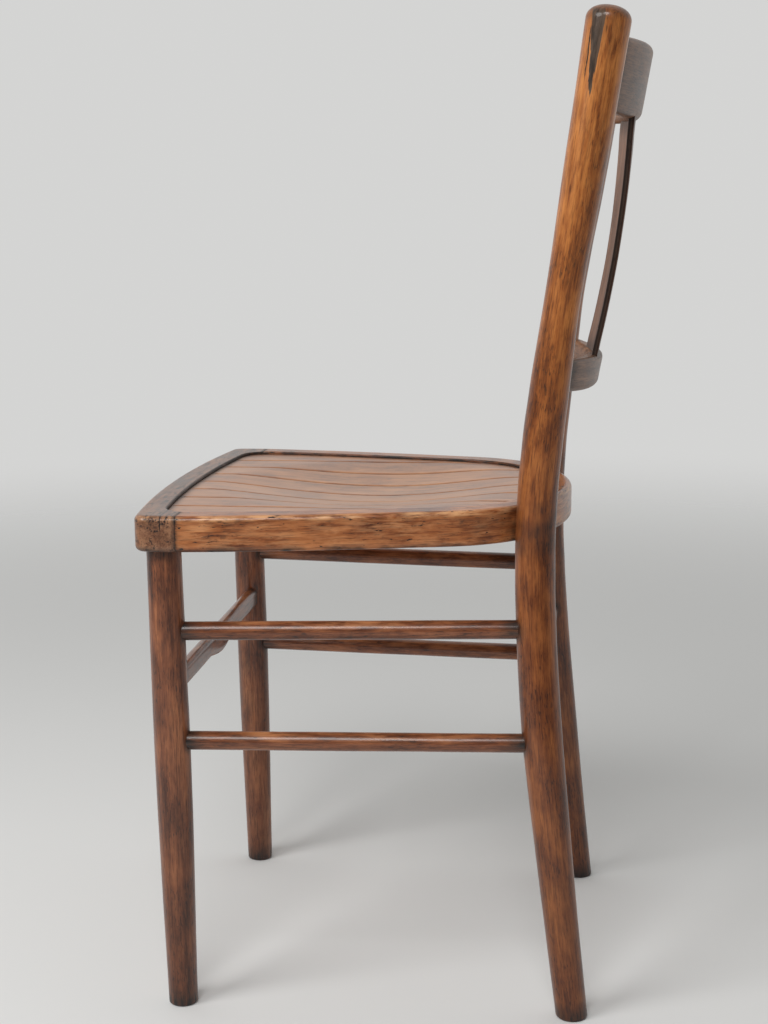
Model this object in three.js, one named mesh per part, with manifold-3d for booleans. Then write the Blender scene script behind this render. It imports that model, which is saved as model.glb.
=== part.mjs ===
// A bentwood side chair: two bent rear posts, a horseshoe seat frame with a pressed plywood
// panel, a bowed crest rail, a bowed lower back rail with a plywood splat between them,
// two turned front legs and six stretchers. Millimetres, +Z up, the sitter faces -Y,
// the sitter's left is +X, and the origin is on the floor under the middle of the chair.
import * as THREE from "three";
import { mergeVertices } from "three/addons/utils/BufferGeometryUtils.js";
import Module from "manifold-3d";

const wasm = await Module();
wasm.setup();

// Overall sizes
const totalHeight = 882;
const seatHeight = 460.5;
const seatHalfWidth = 205;
const seatDepth = 386;
const clearance = 0.3;

// Seat frame
const frameThickness = 32;
const frameArris = 5;
const frameLand = 24; // from the outer edge to the recess that holds the panel
const panelLedge = 9; // the step inside the recess that the panel lies on
const frontBow = 14; // how far the front edge curves forward
const frontCornerRadius = 12;
const recessCornerRadius = 24;
const openingCornerRadius = 18;
const jointBehindFront = 51; // where the front rail meets the bent hoop
const dowelRadius = 3.5;
const dowelLength = 38;
const dowelFromOutside = 11;
const dowelHeights = [9, 23]; // above the frame's underside

// Seat panel
const panelThickness = 4.5;
const panelBelowFrame = 2.6;
const panelSideGap = 0.5;
const dishDepth = 12;
const dishBehindFront = 198; // from the front edge to the deepest place
const dishMarginFront = 7; // the flat rim of the panel inside the frame's ledge
const dishMarginRear = 17;
const dishMarginSide = 28;
const groovePitch = 45;
const grooveWidth = 6;
const grooveDepth = 1.4;
const grooveCount = 7;

// Rear posts
const postSeatRadius = 17.6;
const postHousing = 2; // how deep the post is let into the hoop
const postSeatSpread = 134.7; // from the middle of the chair to the post's axis at the seat
const postFootSplay = 31;
const postTopSplay = 18.6;
const postLegRake = 36.4;
const postBackRake = 59.1;
const postDomeHeight = 13;
const screwHeight = 13; // above the frame's underside
const screwRadius = 4;
const screwDepthInPost = 20;
const screwHeadRadius = 7.2;
const screwHeadHeight = 5.3;
const washerRadius = 10;
const washerThickness = 1.6;
const spotFaceDepth = 2.2;

// Front legs
const frontLegFromSide = 28.5;
const frontLegBehindFront = 33.2;
const frontLegRake = 4.8;
const frontLegTopRadius = 15.4;
const frontLegBellyRadius = 16.2;
const frontLegFootRadius = 13.1;
const legTenonRadius = 10;
const legTenonLength = 20;

// Stretchers
const stretcherRadius = 8.5;
const stretcherTenonRadius = 6;
const stretcherHousing = 3; // how deep the full round is let into a leg
const stretcherSocket = 13; // how deep the tenon goes
const upperSideHeight = 352;
const lowerSideHeight = 251;
const crossHeight = 303;
const frontStretcherDepth = 12;
const frontStretcherHeight = 20;
const frontStretcherRound = 5.5;
const frontStretcherSetback = 3.5;
const pendantDepth = 7;
const pendantHalfWidth = 45;

// Back
const crestBelowTop = 22;
const crestHeight = 65.5;
const crestThickness = 16.5;
const crestCrown = 1; // how much lower the top edge is at the posts
const crestUnderRise = 5; // how much higher the bottom edge is at the posts
const crestLean = 0.178;
const crestArris = 7.5;
const lowerRailAboveSeat = 125;
const lowerRailHeight = 31;
const lowerRailThickness = 17;
const lowerRailRise = 4; // how much higher the top edge is at the posts
const lowerRailUnderRise = 7.5;
const lowerRailLean = 0.186;
const lowerRailArris = 6;
const railBow = 33.6; // how far the middle of each rail stands behind the posts
const railTenonThickness = 9;
const railTenonDepth = 12;
const splatThickness = 5.3;
const splatTopWidth = 104;
const splatWaistWidth = 84;
const splatFootWidth = 92;
const splatBelly = 4.6; // how far the middle of the splat curves rearward
const splatTwist = 0.065; // how far the left edge stands behind the right edge, per mm of width
const splatTongue = 9; // how deep each end goes into its rail

// Everything below follows from the values above.
const frameBottom = seatHeight - frameThickness;
const frontY = -seatDepth / 2;
const jointY = frontY + jointBehindFront;
const opening = frameLand + panelLedge; // from the outer edge to the hole through the frame
const recessFloor = seatHeight - panelBelowFrame - panelThickness - clearance;
const dishReachFront = dishBehindFront - opening - dishMarginFront;
const dishReachRear = seatDepth - dishBehindFront - opening - dishMarginRear;
const dishHalfWidth = seatHalfWidth - opening - dishMarginSide;

const finishes = {
  postWood: { color: 0x7a4324, roughness: 0.42, metalness: 0 },
  legWood: { color: 0x5c3220, roughness: 0.45, metalness: 0 },
  frameWood: { color: 0x6e4026, roughness: 0.4, metalness: 0 },
  railWood: { color: 0x5a4334, roughness: 0.38, metalness: 0 },
  panelWood: { color: 0x8f6248, roughness: 0.36, metalness: 0 },
  dowelWood: { color: 0xb08c62, roughness: 0.7, metalness: 0 },
  steel: { color: 0x77736c, roughness: 0.5, metalness: 1 },
};

// ---- solids ----

// A closed three.js geometry as a manifold-3d solid.
function solid(geometry) {
  const bare = geometry.clone();
  bare.deleteAttribute("normal");
  bare.deleteAttribute("uv");
  const merged = mergeVertices(bare, 1e-4);
  return new wasm.Manifold(
    new wasm.Mesh({
      numProp: 3,
      vertProperties: new Float32Array(merged.attributes.position.array),
      triVerts: new Uint32Array(merged.index.array),
    }),
  );
}

// A manifold-3d solid as a three.js geometry.
function geometryOf(body) {
  const mesh = body.getMesh();
  const corners = new Float32Array(mesh.numVert * 3);
  for (let i = 0; i < mesh.numVert; i++) {
    const at = i * mesh.numProp;
    corners.set(mesh.vertProperties.subarray(at, at + 3), i * 3);
  }
  const geometry = new THREE.BufferGeometry();
  geometry.setAttribute("position", new THREE.BufferAttribute(corners, 3));
  geometry.setIndex(new THREE.BufferAttribute(new Uint32Array(mesh.triVerts), 1));
  geometry.computeVertexNormals();
  return geometry;
}

// Moves every vertex of a geometry to where place(x, y, z) says.
function warp(geometry, place) {
  const points = geometry.attributes.position;
  for (let i = 0; i < points.count; i++) {
    const [x, y, z] = place(points.getX(i), points.getY(i), points.getZ(i));
    points.setXYZ(i, x, y, z);
  }
  return geometry;
}

// A smooth value through stations [position, value], as a spline batten would lie.
function batten(stations, at) {
  const last = stations.length - 1;
  let i = 0;
  while (i < last - 1 && at > stations[i + 1][0]) i++;
  const slope = (k) => {
    const a = stations[Math.max(k - 1, 0)];
    const b = stations[Math.min(k + 1, last)];
    return (b[1] - a[1]) / (b[0] - a[0]);
  };
  const [x0, y0] = stations[i];
  const [x1, y1] = stations[i + 1];
  const span = x1 - x0;
  const t = (at - x0) / span;
  const s = 1 - t;
  return (
    s * s * (1 + 2 * t) * y0 +
    s * s * t * span * slope(i) +
    t * t * (3 - 2 * t) * y1 -
    t * t * s * span * slope(i + 1)
  );
}

// A piece turned round +Z from [radius, height] points that start and end on the axis.
function turned(profile, sides = 16) {
  const points = profile.map(([r, z]) => new THREE.Vector2(r, z));
  return new THREE.LatheGeometry(points, sides).rotateX(Math.PI / 2);
}

// A plain round bar from one point towards another.
function roundBar(from, direction, radius, length, sides = 16) {
  const profile = [[0, 0], [radius, 0], [radius, length], [0, length]];
  return aim(turned(profile, sides), from, direction);
}

// Turns a piece made along +Z to lie along a direction, starting at a point.
function aim(geometry, from, direction) {
  const up = new THREE.Vector3(0, 0, 1);
  const turn = new THREE.Quaternion().setFromUnitVectors(up, direction.clone().normalize());
  return geometry.applyQuaternion(turn).translate(from.x, from.y, from.z);
}

function roundedRectangle(width, height, radius) {
  const w = width / 2;
  const h = height / 2;
  const shape = new THREE.Shape();
  shape.moveTo(w, -h + radius);
  shape.lineTo(w, h - radius);
  shape.absarc(w - radius, h - radius, radius, 0, Math.PI / 2);
  shape.lineTo(-w + radius, h);
  shape.absarc(-w + radius, h - radius, radius, Math.PI / 2, Math.PI);
  shape.lineTo(-w, -h + radius);
  shape.absarc(-w + radius, -h + radius, radius, Math.PI, 1.5 * Math.PI);
  shape.lineTo(w - radius, -h);
  shape.absarc(w - radius, -h + radius, radius, 1.5 * Math.PI, 2 * Math.PI);
  return shape;
}

// A straight bar along X with a rounded section: depth along Y, height along Z.
function straightBar(halfLength, depth, height, radius, steps) {
  const section = roundedRectangle(depth, height, radius);
  const bar = new THREE.ExtrudeGeometry(section, {
    depth: 2 * halfLength,
    steps,
    curveSegments: 2,
    bevelEnabled: false,
  });
  return warp(bar, (a, b, along) => [along - halfLength, a, b]);
}

// ---- seat frame ----

// Half of the frame's outer edge behind the front corner, [share of half width, share of depth].
const sideCourse = [
  [1.0, 0.07],
  [1.0, 0.132],
  [0.937, 0.37],
  [0.829, 0.642],
  [0.746, 0.8],
  [0.585, 0.906],
  [0.335, 0.971],
  [0, 1],
];

// The left side and rear of the outer edge, from the front corner to the middle of the rear.
const sideEdge = new THREE.CatmullRomCurve3(
  [...sideCourse, ...sideCourse.slice(0, -1).reverse().map(([x, y]) => [-x, y])].map(
    ([x, y]) => new THREE.Vector3(x * seatHalfWidth, frontY + y * seatDepth, 0),
  ),
  false,
  "centripetal",
);

// A point on the side and rear edge, moved inwards, with the outward direction there.
function sideAt(t, inset) {
  const at = sideEdge.getPoint(t);
  const along = sideEdge.getTangent(t);
  const outward = new THREE.Vector3(along.y, -along.x, 0);
  return { at: at.addScaledVector(outward, -inset), outward };
}

function frontEdgeY(x) {
  return frontY + frontBow * (x / seatHalfWidth) ** 2;
}

// The plan outline of the seat frame, moved inwards, with its own front corner radius.
function seatOutline(inset, cornerRadius) {
  const sideSteps = 36;
  const frontSteps = 8;
  const behindCorner = frontY + inset + frontBow + cornerRadius;
  let start = 0;
  while (sideAt(start, inset).at.y < behindCorner) start += 0.0005;
  const side = [];
  for (let i = 0; i <= sideSteps; i++) {
    const { at } = sideAt(start + ((1 - 2 * start) * i) / sideSteps, inset);
    side.push(new THREE.Vector2(at.x, at.y));
  }
  const first = side[0];
  const frontEnd = first.x - cornerRadius;
  const front = [];
  for (let i = 0; i <= frontSteps; i++) {
    const x = frontEnd * (1 - (2 * i) / frontSteps);
    front.push(new THREE.Vector2(-x, frontEdgeY(x) + inset));
  }
  const cornerAt = new THREE.Vector2(first.x, frontEdgeY(first.x) + inset);
  const mirror = (p) => new THREE.Vector2(-p.x, p.y);
  const corner = new THREE.QuadraticBezierCurve(front[frontSteps], cornerAt, first).getPoints(5);
  const leftCorner = corner.slice(1, -1);
  const rightCorner = leftCorner.map(mirror).reverse();
  return new THREE.Shape([...front, ...leftCorner, ...side, ...rightCorner]);
}

function slab(outline, bottom, top, arris = 0) {
  const geometry = new THREE.ExtrudeGeometry(outline, {
    depth: top - bottom - 2 * arris,
    bevelEnabled: arris > 0,
    bevelThickness: arris,
    bevelSize: arris,
    bevelOffset: -arris,
    bevelSegments: 2,
  });
  return solid(geometry.translate(0, 0, bottom + arris));
}

const wholeFrame = slab(
  seatOutline(0, frontCornerRadius),
  frameBottom,
  seatHeight,
  frameArris,
)
  .subtract(slab(seatOutline(frameLand, recessCornerRadius), recessFloor, seatHeight + 1))
  .subtract(slab(seatOutline(opening, openingCornerRadius), frameBottom - 1, seatHeight));

// A block that holds everything in front of the joint, or everything behind it.
function frameBlock(low, high) {
  const block = new THREE.BoxGeometry(3 * seatHalfWidth, high - low, 3 * frameThickness);
  return solid(block.translate(0, (low + high) / 2, seatHeight));
}

// ---- rear posts ----

// The spot on the frame's edge where a post stands, found by walking round from the side.
function findPostSpot() {
  const reach = postSeatRadius - postHousing;
  let t = 0.2;
  while (sideAt(t, -reach).at.x > postSeatSpread) t += 0.0005;
  return sideAt(t, -reach);
}

const postSpot = findPostSpot();
const bendHeight = seatHeight - 10; // the post is furthest forward here

// How far the post's axis lies behind its forward-most point, and out from the middle.
const postRake = [
  [0, postLegRake],
  [bendHeight / 3, 0.522 * postLegRake],
  [(2 * bendHeight) / 3, 0.113 * postLegRake],
  [bendHeight, 0],
  [bendHeight + 0.35 * (totalHeight - bendHeight), 0.267 * postBackRake],
  [bendHeight + 0.7 * (totalHeight - bendHeight), 0.67 * postBackRake],
  [totalHeight, postBackRake],
];
const postSpread = [
  [0, postSeatSpread + postFootSplay],
  [bendHeight / 2, postSeatSpread + 0.64 * postFootSplay],
  [bendHeight, postSeatSpread],
  [totalHeight, postSeatSpread + postTopSplay],
];
const postRadius = [
  [0, 0.81 * postSeatRadius],
  [0.22 * bendHeight, 0.88 * postSeatRadius],
  [0.55 * bendHeight, 1.015 * postSeatRadius],
  [0.96 * bendHeight, postSeatRadius],
  [seatHeight + 99, postSeatRadius],
  [seatHeight + 180, 0.885 * postSeatRadius],
  [totalHeight - 120, 1.03 * postSeatRadius],
  [totalHeight, 1.05 * postSeatRadius],
];

function postAxis(z) {
  const x = batten(postSpread, z);
  const y = postSpot.at.y + batten(postRake, z);
  return new THREE.Vector3(x, y, z);
}

function postRadiusAt(z) {
  return batten(postRadius, z);
}

// A left rear post, or the room that it takes up when grow is more than 0.
// Its domed top is square to the leaning post, and its foot is cut level with the floor.
function rearPost(grow = 0) {
  const footArris = 1.5;
  const rings = 18;
  const domeSteps = 5;
  const topRadius = postRadiusAt(totalHeight);
  const lean = (postAxis(totalHeight).y - postAxis(totalHeight - topRadius).y) / topRadius;
  const domeFrom = totalHeight - Math.hypot(postDomeHeight, lean * topRadius);
  const levelBelow = domeFrom - 4 * topRadius;
  const profile = [[0, 0], [postRadiusAt(0) - footArris + grow, 0]];
  for (let i = 0; i <= rings; i++) {
    const z = footArris + ((domeFrom - footArris) * i) / rings;
    profile.push([postRadiusAt(z) + grow, z]);
  }
  for (let i = 1; i < domeSteps; i++) {
    const angle = (i / domeSteps) * (Math.PI / 2);
    const radius = (topRadius + grow) * Math.cos(angle);
    profile.push([radius, domeFrom + postDomeHeight * Math.sin(angle)]);
  }
  profile.push([0, domeFrom + postDomeHeight]);
  return solid(
    warp(turned(profile), (x, y, z) => {
      const axis = postAxis(z);
      const tilt = THREE.MathUtils.smoothstep(z, levelBelow, domeFrom) * lean;
      return [axis.x + x, axis.y + y, z - tilt * y];
    }),
  );
}

// ---- front legs ----

const frontLegX = seatHalfWidth - frontLegFromSide;
const frontLegY = frontY + frontLegBehindFront;
const frontLegRadii = [
  [0, frontLegFootRadius],
  [frameBottom / 2, frontLegBellyRadius],
  [frameBottom, frontLegTopRadius],
];

function frontLegAxis(z) {
  const y = frontLegY + frontLegRake * (1 - z / frameBottom);
  return new THREE.Vector3(frontLegX, y, z);
}

function frontLegRadiusAt(z) {
  return batten(frontLegRadii, z);
}

function frontLeg() {
  const footArris = 1.5;
  const rings = 7;
  const shoulder = frameBottom - clearance;
  const profile = [[0, 0], [frontLegRadiusAt(0) - footArris, 0]];
  for (let i = 0; i <= rings; i++) {
    const z = footArris + ((shoulder - footArris) * i) / rings;
    profile.push([frontLegRadiusAt(z), z]);
  }
  const tenonTop = shoulder + legTenonLength;
  profile.push([legTenonRadius, shoulder], [legTenonRadius, tenonTop - 1]);
  profile.push([legTenonRadius - 1, tenonTop], [0, tenonTop]);
  return solid(
    warp(turned(profile), (x, y, z) => {
      const axis = frontLegAxis(Math.min(z, frameBottom));
      return [axis.x + x, axis.y + y, z];
    }),
  );
}

const legSocket = solid(
  roundBar(
    new THREE.Vector3(frontLegX, frontLegY, frameBottom - 2),
    new THREE.Vector3(0, 0, 1),
    legTenonRadius + clearance,
    legTenonLength + 2,
  ),
);

// ---- stretchers ----

// A round stretcher between two uprights, housed and tenoned at both ends.
// With grow it is the room that the stretcher takes up in them.
function roundStretcher(a, radiusA, b, radiusB, grow = 0) {
  const length = a.distanceTo(b);
  const tipA = radiusA - stretcherSocket - grow;
  const tipB = length - radiusB + stretcherSocket + grow;
  const shoulderA = radiusA - stretcherHousing - grow;
  const shoulderB = length - radiusB + stretcherHousing + grow;
  const full = stretcherRadius + grow;
  const tenon = stretcherTenonRadius + grow;
  const profile = [
    [0, tipA],
    [tenon, tipA],
    [tenon, shoulderA],
    [full, shoulderA],
    [full, shoulderB],
    [tenon, shoulderB],
    [tenon, tipB],
    [0, tipB],
  ];
  return solid(aim(turned(profile), a, b.clone().sub(a)));
}

function sideStretcher(height, grow = 0) {
  const front = frontLegAxis(height);
  const rear = postAxis(height);
  return roundStretcher(front, frontLegRadiusAt(height), rear, postRadiusAt(height), grow);
}

function rearStretcher(grow = 0) {
  const left = postAxis(crossHeight);
  const right = left.clone().setX(-left.x);
  const radius = postRadiusAt(crossHeight);
  return roundStretcher(right, radius, left, radius, grow);
}

// The flat-backed front stretcher, with a shallow pendant in the middle of its lower edge.
function frontStretcher(grow = 0) {
  const reach = frontLegX - frontLegRadiusAt(crossHeight) + stretcherSocket + grow;
  const depth = frontStretcherDepth + 2 * grow;
  const height = frontStretcherHeight + 2 * grow;
  const bar = straightBar(reach, depth, height, frontStretcherRound, 22);
  const y0 = frontLegAxis(crossHeight).y + frontStretcherSetback;
  return solid(
    warp(bar, (x, y, z) => {
      const share = Math.min(Math.abs(x) / pendantHalfWidth, 1);
      const drop = pendantDepth * (1 - share ** 1.5);
      const lowered = z < 0 ? (drop * -z) / (height / 2) : 0;
      return [x, y0 + y, crossHeight + z - lowered];
    }),
  );
}

// ---- back rails and splat ----

const crest = {
  top: totalHeight - crestBelowTop,
  height: crestHeight,
  thickness: crestThickness,
  topRise: -crestCrown,
  underRise: crestUnderRise,
  lean: crestLean,
  arris: crestArris,
  tenonHeight: 36,
};
const lowerRail = {
  top: seatHeight + lowerRailAboveSeat,
  height: lowerRailHeight,
  thickness: lowerRailThickness,
  topRise: lowerRailRise,
  underRise: lowerRailUnderRise,
  lean: lowerRailLean,
  arris: lowerRailArris,
  tenonHeight: 15,
};

function railMiddle(rail) {
  return rail.top - rail.height / 2;
}

// The height and rearward place of a rail at x, for a share of its height from -1/2 to 1/2.
function railSurface(rail, x, share) {
  const post = postAxis(railMiddle(rail));
  const out = (x / post.x) ** 2;
  const top = rail.top + rail.topRise * out;
  const under = rail.top - rail.height + rail.underRise * out;
  const z = under + (top - under) * (share + 0.5);
  const y = post.y + railBow * (1 - out) + rail.lean * (z - railMiddle(rail));
  return { y, z };
}

// A board bent to the rail's curve. Its height and thickness may be less than the rail's.
function bentBoard(rail, halfLength, thickness, height, arris) {
  const board = straightBar(halfLength, thickness, height, arris, 18);
  return solid(
    warp(board, (x, y, z) => {
      const middle = railSurface(rail, x, z / rail.height);
      return [x, middle.y + y, middle.z];
    }),
  );
}

function railTenons(rail, grow = 0) {
  const post = postAxis(railMiddle(rail));
  const reach = post.x - postRadiusAt(post.z) + railTenonDepth + grow;
  const thickness = railTenonThickness + 2 * grow;
  return bentBoard(rail, reach, thickness, rail.tenonHeight + 2 * grow, 1.5);
}

// The splat's middle line runs from the lower rail up to the crest rail.
const splatFoot = railSurface(lowerRail, 0, 0.5);
const splatHead = railSurface(crest, 0, -0.5);
const splatFrom = splatFoot.z - splatTongue;
const splatTo = splatHead.z + splatTongue;

const spanOfPosts = postAxis(railMiddle(crest)).x;

// The splat: a wide thin board, bowed across like the rails and bellied rearward along its height.
// It stands slightly twisted in its slots. With grow it is the room that it takes up in the rails.
function splatBoard(grow = 0) {
  const across = 8;
  const along = 16;
  const length = splatTo - splatFrom + 2 * grow;
  const sheet = new THREE.BoxGeometry(2, splatThickness + 2 * grow, length, across, 1, along);
  const board = sheet.translate(0, 0, (splatFrom + splatTo) / 2);
  const slope = (splatHead.y - splatFoot.y) / (splatHead.z - splatFoot.z);
  return solid(
    warp(board, (share, thick, z) => {
      const t = THREE.MathUtils.clamp((z - splatFoot.z) / (splatHead.z - splatFoot.z), 0, 1);
      const width = batten([[0, splatFootWidth], [0.45, splatWaistWidth], [1, splatTopWidth]], t);
      const x = share * (width / 2 + grow);
      const bowed = railBow * (x / spanOfPosts) ** 2;
      const belly = splatBelly * 4 * t * (1 - t);
      const shift = belly - bowed + splatTwist * x;
      return [x, splatFoot.y + slope * (z - splatFoot.z) + shift + thick, z];
    }),
  );
}

// ---- fastenings between the hoop and the rear posts ----

// A coach screw goes from the inside of the hoop, through a washer, into the post.
const screwOutward = postSpot.outward.clone().normalize();
const screwLevel = frameBottom + screwHeight;
const screwAxisPoint = postSpot.at.clone().setZ(screwLevel);
const innerWall = postSeatRadius - postHousing + opening; // from the post's axis inwards
const seatOfWasher = innerWall - spotFaceDepth;

// A point on the screw's line, measured inwards from the post's axis.
function onScrewLine(inwards) {
  return screwAxisPoint.clone().addScaledVector(screwOutward, -inwards);
}

function postScrew() {
  const underHead = seatOfWasher + clearance + washerThickness + clearance;
  const tip = postSeatRadius - screwDepthInPost;
  const length = underHead - tip;
  const profile = [
    [0, -screwHeadHeight / 2],
    [screwRadius, -screwHeadHeight / 2],
    [screwRadius, length - 6],
    [1, length],
    [0, length],
  ];
  const shank = solid(turned(profile, 12));
  const head = new THREE.CylinderGeometry(screwHeadRadius, screwHeadRadius, screwHeadHeight, 6);
  head.rotateX(Math.PI / 2).translate(0, 0, -screwHeadHeight / 2);
  const whole = geometryOf(shank.add(solid(head)));
  return solid(aim(whole, onScrewLine(underHead), screwOutward));
}

function postWasher() {
  const thick = washerThickness;
  const hole = screwRadius + clearance;
  const ring = turned([[hole, 0], [washerRadius, 0], [washerRadius, thick], [hole, thick], [hole, 0]]);
  return solid(aim(ring, onScrewLine(seatOfWasher + clearance + thick), screwOutward));
}

// The drilled way for the screw, through the hoop and into the post.
function screwHole() {
  const start = seatOfWasher + 1;
  const end = postSeatRadius - screwDepthInPost - 1;
  return solid(roundBar(onScrewLine(start), screwOutward, screwRadius + clearance, start - end, 12));
}

function spotFace() {
  const start = innerWall + 6;
  return solid(roundBar(onScrewLine(start), screwOutward, washerRadius + 1, start - seatOfWasher));
}

// ---- dowels across the joint between the front rail and the hoop ----

function dowelBar(height, grow = 0) {
  const half = dowelLength / 2 + grow;
  const from = new THREE.Vector3(
    seatHalfWidth - dowelFromOutside,
    jointY - half,
    frameBottom + height,
  );
  return solid(roundBar(from, new THREE.Vector3(0, 1, 0), dowelRadius + grow, 2 * half, 12));
}

// ---- seat panel ----

// How far the panel's surface is pressed below its rim at a place on the seat.
function dishAt(x, y) {
  const fromCentre = y - (frontY + dishBehindFront);
  const reach = fromCentre < 0 ? dishReachFront : dishReachRear;
  const out = (x / dishHalfWidth) ** 2 + (fromCentre / reach) ** 2;
  return out < 1 ? dishDepth * (1 - out) ** 1.5 : 0;
}

function seatPanel() {
  const columns = [-seatHalfWidth];
  const half = (grooveCount - 1) / 2;
  for (let i = -half; i <= half; i++) {
    const middle = i * groovePitch;
    columns.push(middle - groovePitch / 2);
    columns.push(middle - grooveWidth / 2, middle, middle + grooveWidth / 2);
  }
  columns.push((half + 0.5) * groovePitch, seatHalfWidth);
  const rows = 14;
  const rim = seatHeight - panelBelowFrame;
  const sheet = new THREE.BoxGeometry(columns.length - 1, seatDepth, 1, columns.length - 1, rows, 1);
  const pressed = warp(sheet, (x, y, z) => {
    const column = Math.round(x + (columns.length - 1) / 2);
    const across = columns[column];
    const isGroove = column % 4 === 3 && z > 0;
    const surface = rim - dishAt(across, y) - (isGroove ? grooveDepth : 0);
    return [across, y, z > 0 ? surface : surface - panelThickness];
  });
  const inset = frameLand + panelSideGap;
  const blank = slab(seatOutline(inset, recessCornerRadius), frameBottom, seatHeight);
  return solid(pressed).intersect(blank);
}

// ---- assembly ----

const chair = new THREE.Group();

function place(name, body, finish, mirrored = false) {
  const mesh = new THREE.Mesh(geometryOf(body), new THREE.MeshStandardMaterial(finishes[finish]));
  mesh.name = name;
  if (mirrored) mesh.scale.x = -1;
  chair.add(mesh);
}

// Makes a left piece and its mirror image on the right.
function placePair(name, body, finish) {
  place(`${name}_left`, body, finish);
  place(`${name}_right`, body, finish, true);
}

function both(body) {
  return body.add(body.mirror([1, 0, 0]));
}

const crestMortise = railTenons(crest, clearance);
const lowerMortise = railTenons(lowerRail, clearance);
const postRoom = both(rearPost(clearance));

placePair(
  "rear_post",
  rearPost()
    .subtract(crestMortise)
    .subtract(lowerMortise)
    .subtract(sideStretcher(upperSideHeight, clearance))
    .subtract(sideStretcher(lowerSideHeight, clearance))
    .subtract(rearStretcher(clearance))
    .subtract(screwHole()),
  "postWood",
);
placePair(
  "front_leg",
  frontLeg()
    .subtract(sideStretcher(upperSideHeight, clearance))
    .subtract(sideStretcher(lowerSideHeight, clearance))
    .subtract(frontStretcher(clearance)),
  "legWood",
);

const dowelRooms = dowelHeights.map((height) => both(dowelBar(height, clearance)));
let frontRail = wholeFrame
  .intersect(frameBlock(frontY - 1, jointY - clearance / 2))
  .subtract(both(legSocket));
let hoop = wholeFrame
  .intersect(frameBlock(jointY + clearance / 2, frontY + seatDepth + 1))
  .subtract(postRoom)
  .subtract(both(spotFace()))
  .subtract(both(screwHole()));
for (const room of dowelRooms) {
  frontRail = frontRail.subtract(room);
  hoop = hoop.subtract(room);
}
place("seat_front_rail", frontRail, "railWood");
place("seat_hoop", hoop, "frameWood");
place("seat_panel", seatPanel(), "panelWood");
dowelHeights.forEach((height, i) => {
  placePair(`seat_dowel_${i === 0 ? "lower" : "upper"}`, dowelBar(height), "dowelWood");
});
placePair("post_screw", postScrew(), "steel");
placePair("post_washer", postWasher(), "steel");

function backRail(rail) {
  const halfSpan = postAxis(railMiddle(rail)).x;
  const board = bentBoard(rail, halfSpan, rail.thickness, rail.height, rail.arris);
  return board.subtract(postRoom).add(railTenons(rail)).subtract(splatBoard(clearance));
}

place("crest_rail", backRail(crest), "railWood");
place("lower_back_rail", backRail(lowerRail), "railWood");
place("back_splat", splatBoard(), "railWood");

placePair("side_stretcher_upper", sideStretcher(upperSideHeight), "legWood");
placePair("side_stretcher_lower", sideStretcher(lowerSideHeight), "legWood");
place("front_stretcher", frontStretcher(), "legWood");
place("rear_stretcher", rearStretcher(), "legWood");

// The origin goes to the middle of the footprint: the crest rail stands behind the seat.
const extent = new THREE.Box3().setFromObject(chair);
chair.position.y = -(extent.min.y + extent.max.y) / 2;

export default chair;
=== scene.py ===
# %% [markdown]
# # A bentwood desk chair
# This lesson builds the looks of an old bentwood chair around a finished CAD model. The CAD
# model holds every size. Each wooden part is made again here as a smooth piece that is measured
# from its CAD part, and gets the grain, stain, varnish and wear of real beech.
# Everything is in metres, +Z is up, the sitter faces -Y and the sitter's left is +X.

# %% Load the CAD model
import math

import bpy
import numpy as np
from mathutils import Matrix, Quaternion, Vector, noise


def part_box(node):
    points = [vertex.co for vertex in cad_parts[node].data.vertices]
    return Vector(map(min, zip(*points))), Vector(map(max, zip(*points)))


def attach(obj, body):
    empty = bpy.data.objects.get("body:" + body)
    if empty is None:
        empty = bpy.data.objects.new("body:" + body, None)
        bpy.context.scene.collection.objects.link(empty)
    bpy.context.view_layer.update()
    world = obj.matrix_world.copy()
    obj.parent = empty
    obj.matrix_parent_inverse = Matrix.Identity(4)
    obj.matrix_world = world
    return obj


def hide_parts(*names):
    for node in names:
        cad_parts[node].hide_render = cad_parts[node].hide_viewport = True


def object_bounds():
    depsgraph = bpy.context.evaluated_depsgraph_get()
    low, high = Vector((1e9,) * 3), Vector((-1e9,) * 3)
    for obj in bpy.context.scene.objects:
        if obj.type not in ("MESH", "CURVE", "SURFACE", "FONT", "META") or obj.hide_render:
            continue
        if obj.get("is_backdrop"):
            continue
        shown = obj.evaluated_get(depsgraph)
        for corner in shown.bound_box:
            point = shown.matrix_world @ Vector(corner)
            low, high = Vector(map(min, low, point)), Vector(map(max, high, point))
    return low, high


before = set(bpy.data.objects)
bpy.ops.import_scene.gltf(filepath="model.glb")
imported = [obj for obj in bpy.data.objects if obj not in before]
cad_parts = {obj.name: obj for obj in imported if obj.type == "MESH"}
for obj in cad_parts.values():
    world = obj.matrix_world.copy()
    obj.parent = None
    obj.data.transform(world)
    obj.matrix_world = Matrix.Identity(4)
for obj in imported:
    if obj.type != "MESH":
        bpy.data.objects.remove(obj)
cad_low, cad_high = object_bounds()
MM = 0.001
print("CAD nodes:", len(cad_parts), "height:", round(cad_high.z, 3))

# %% [markdown]
# ## The camera
# A camera is a place, a direction and a lens. It stands level with the chair's back on the
# sitter's left and looks slightly down. Two angles give the direction and a third one rolls
# the camera about its own axis, as a camera held by hand is never quite level.

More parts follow.
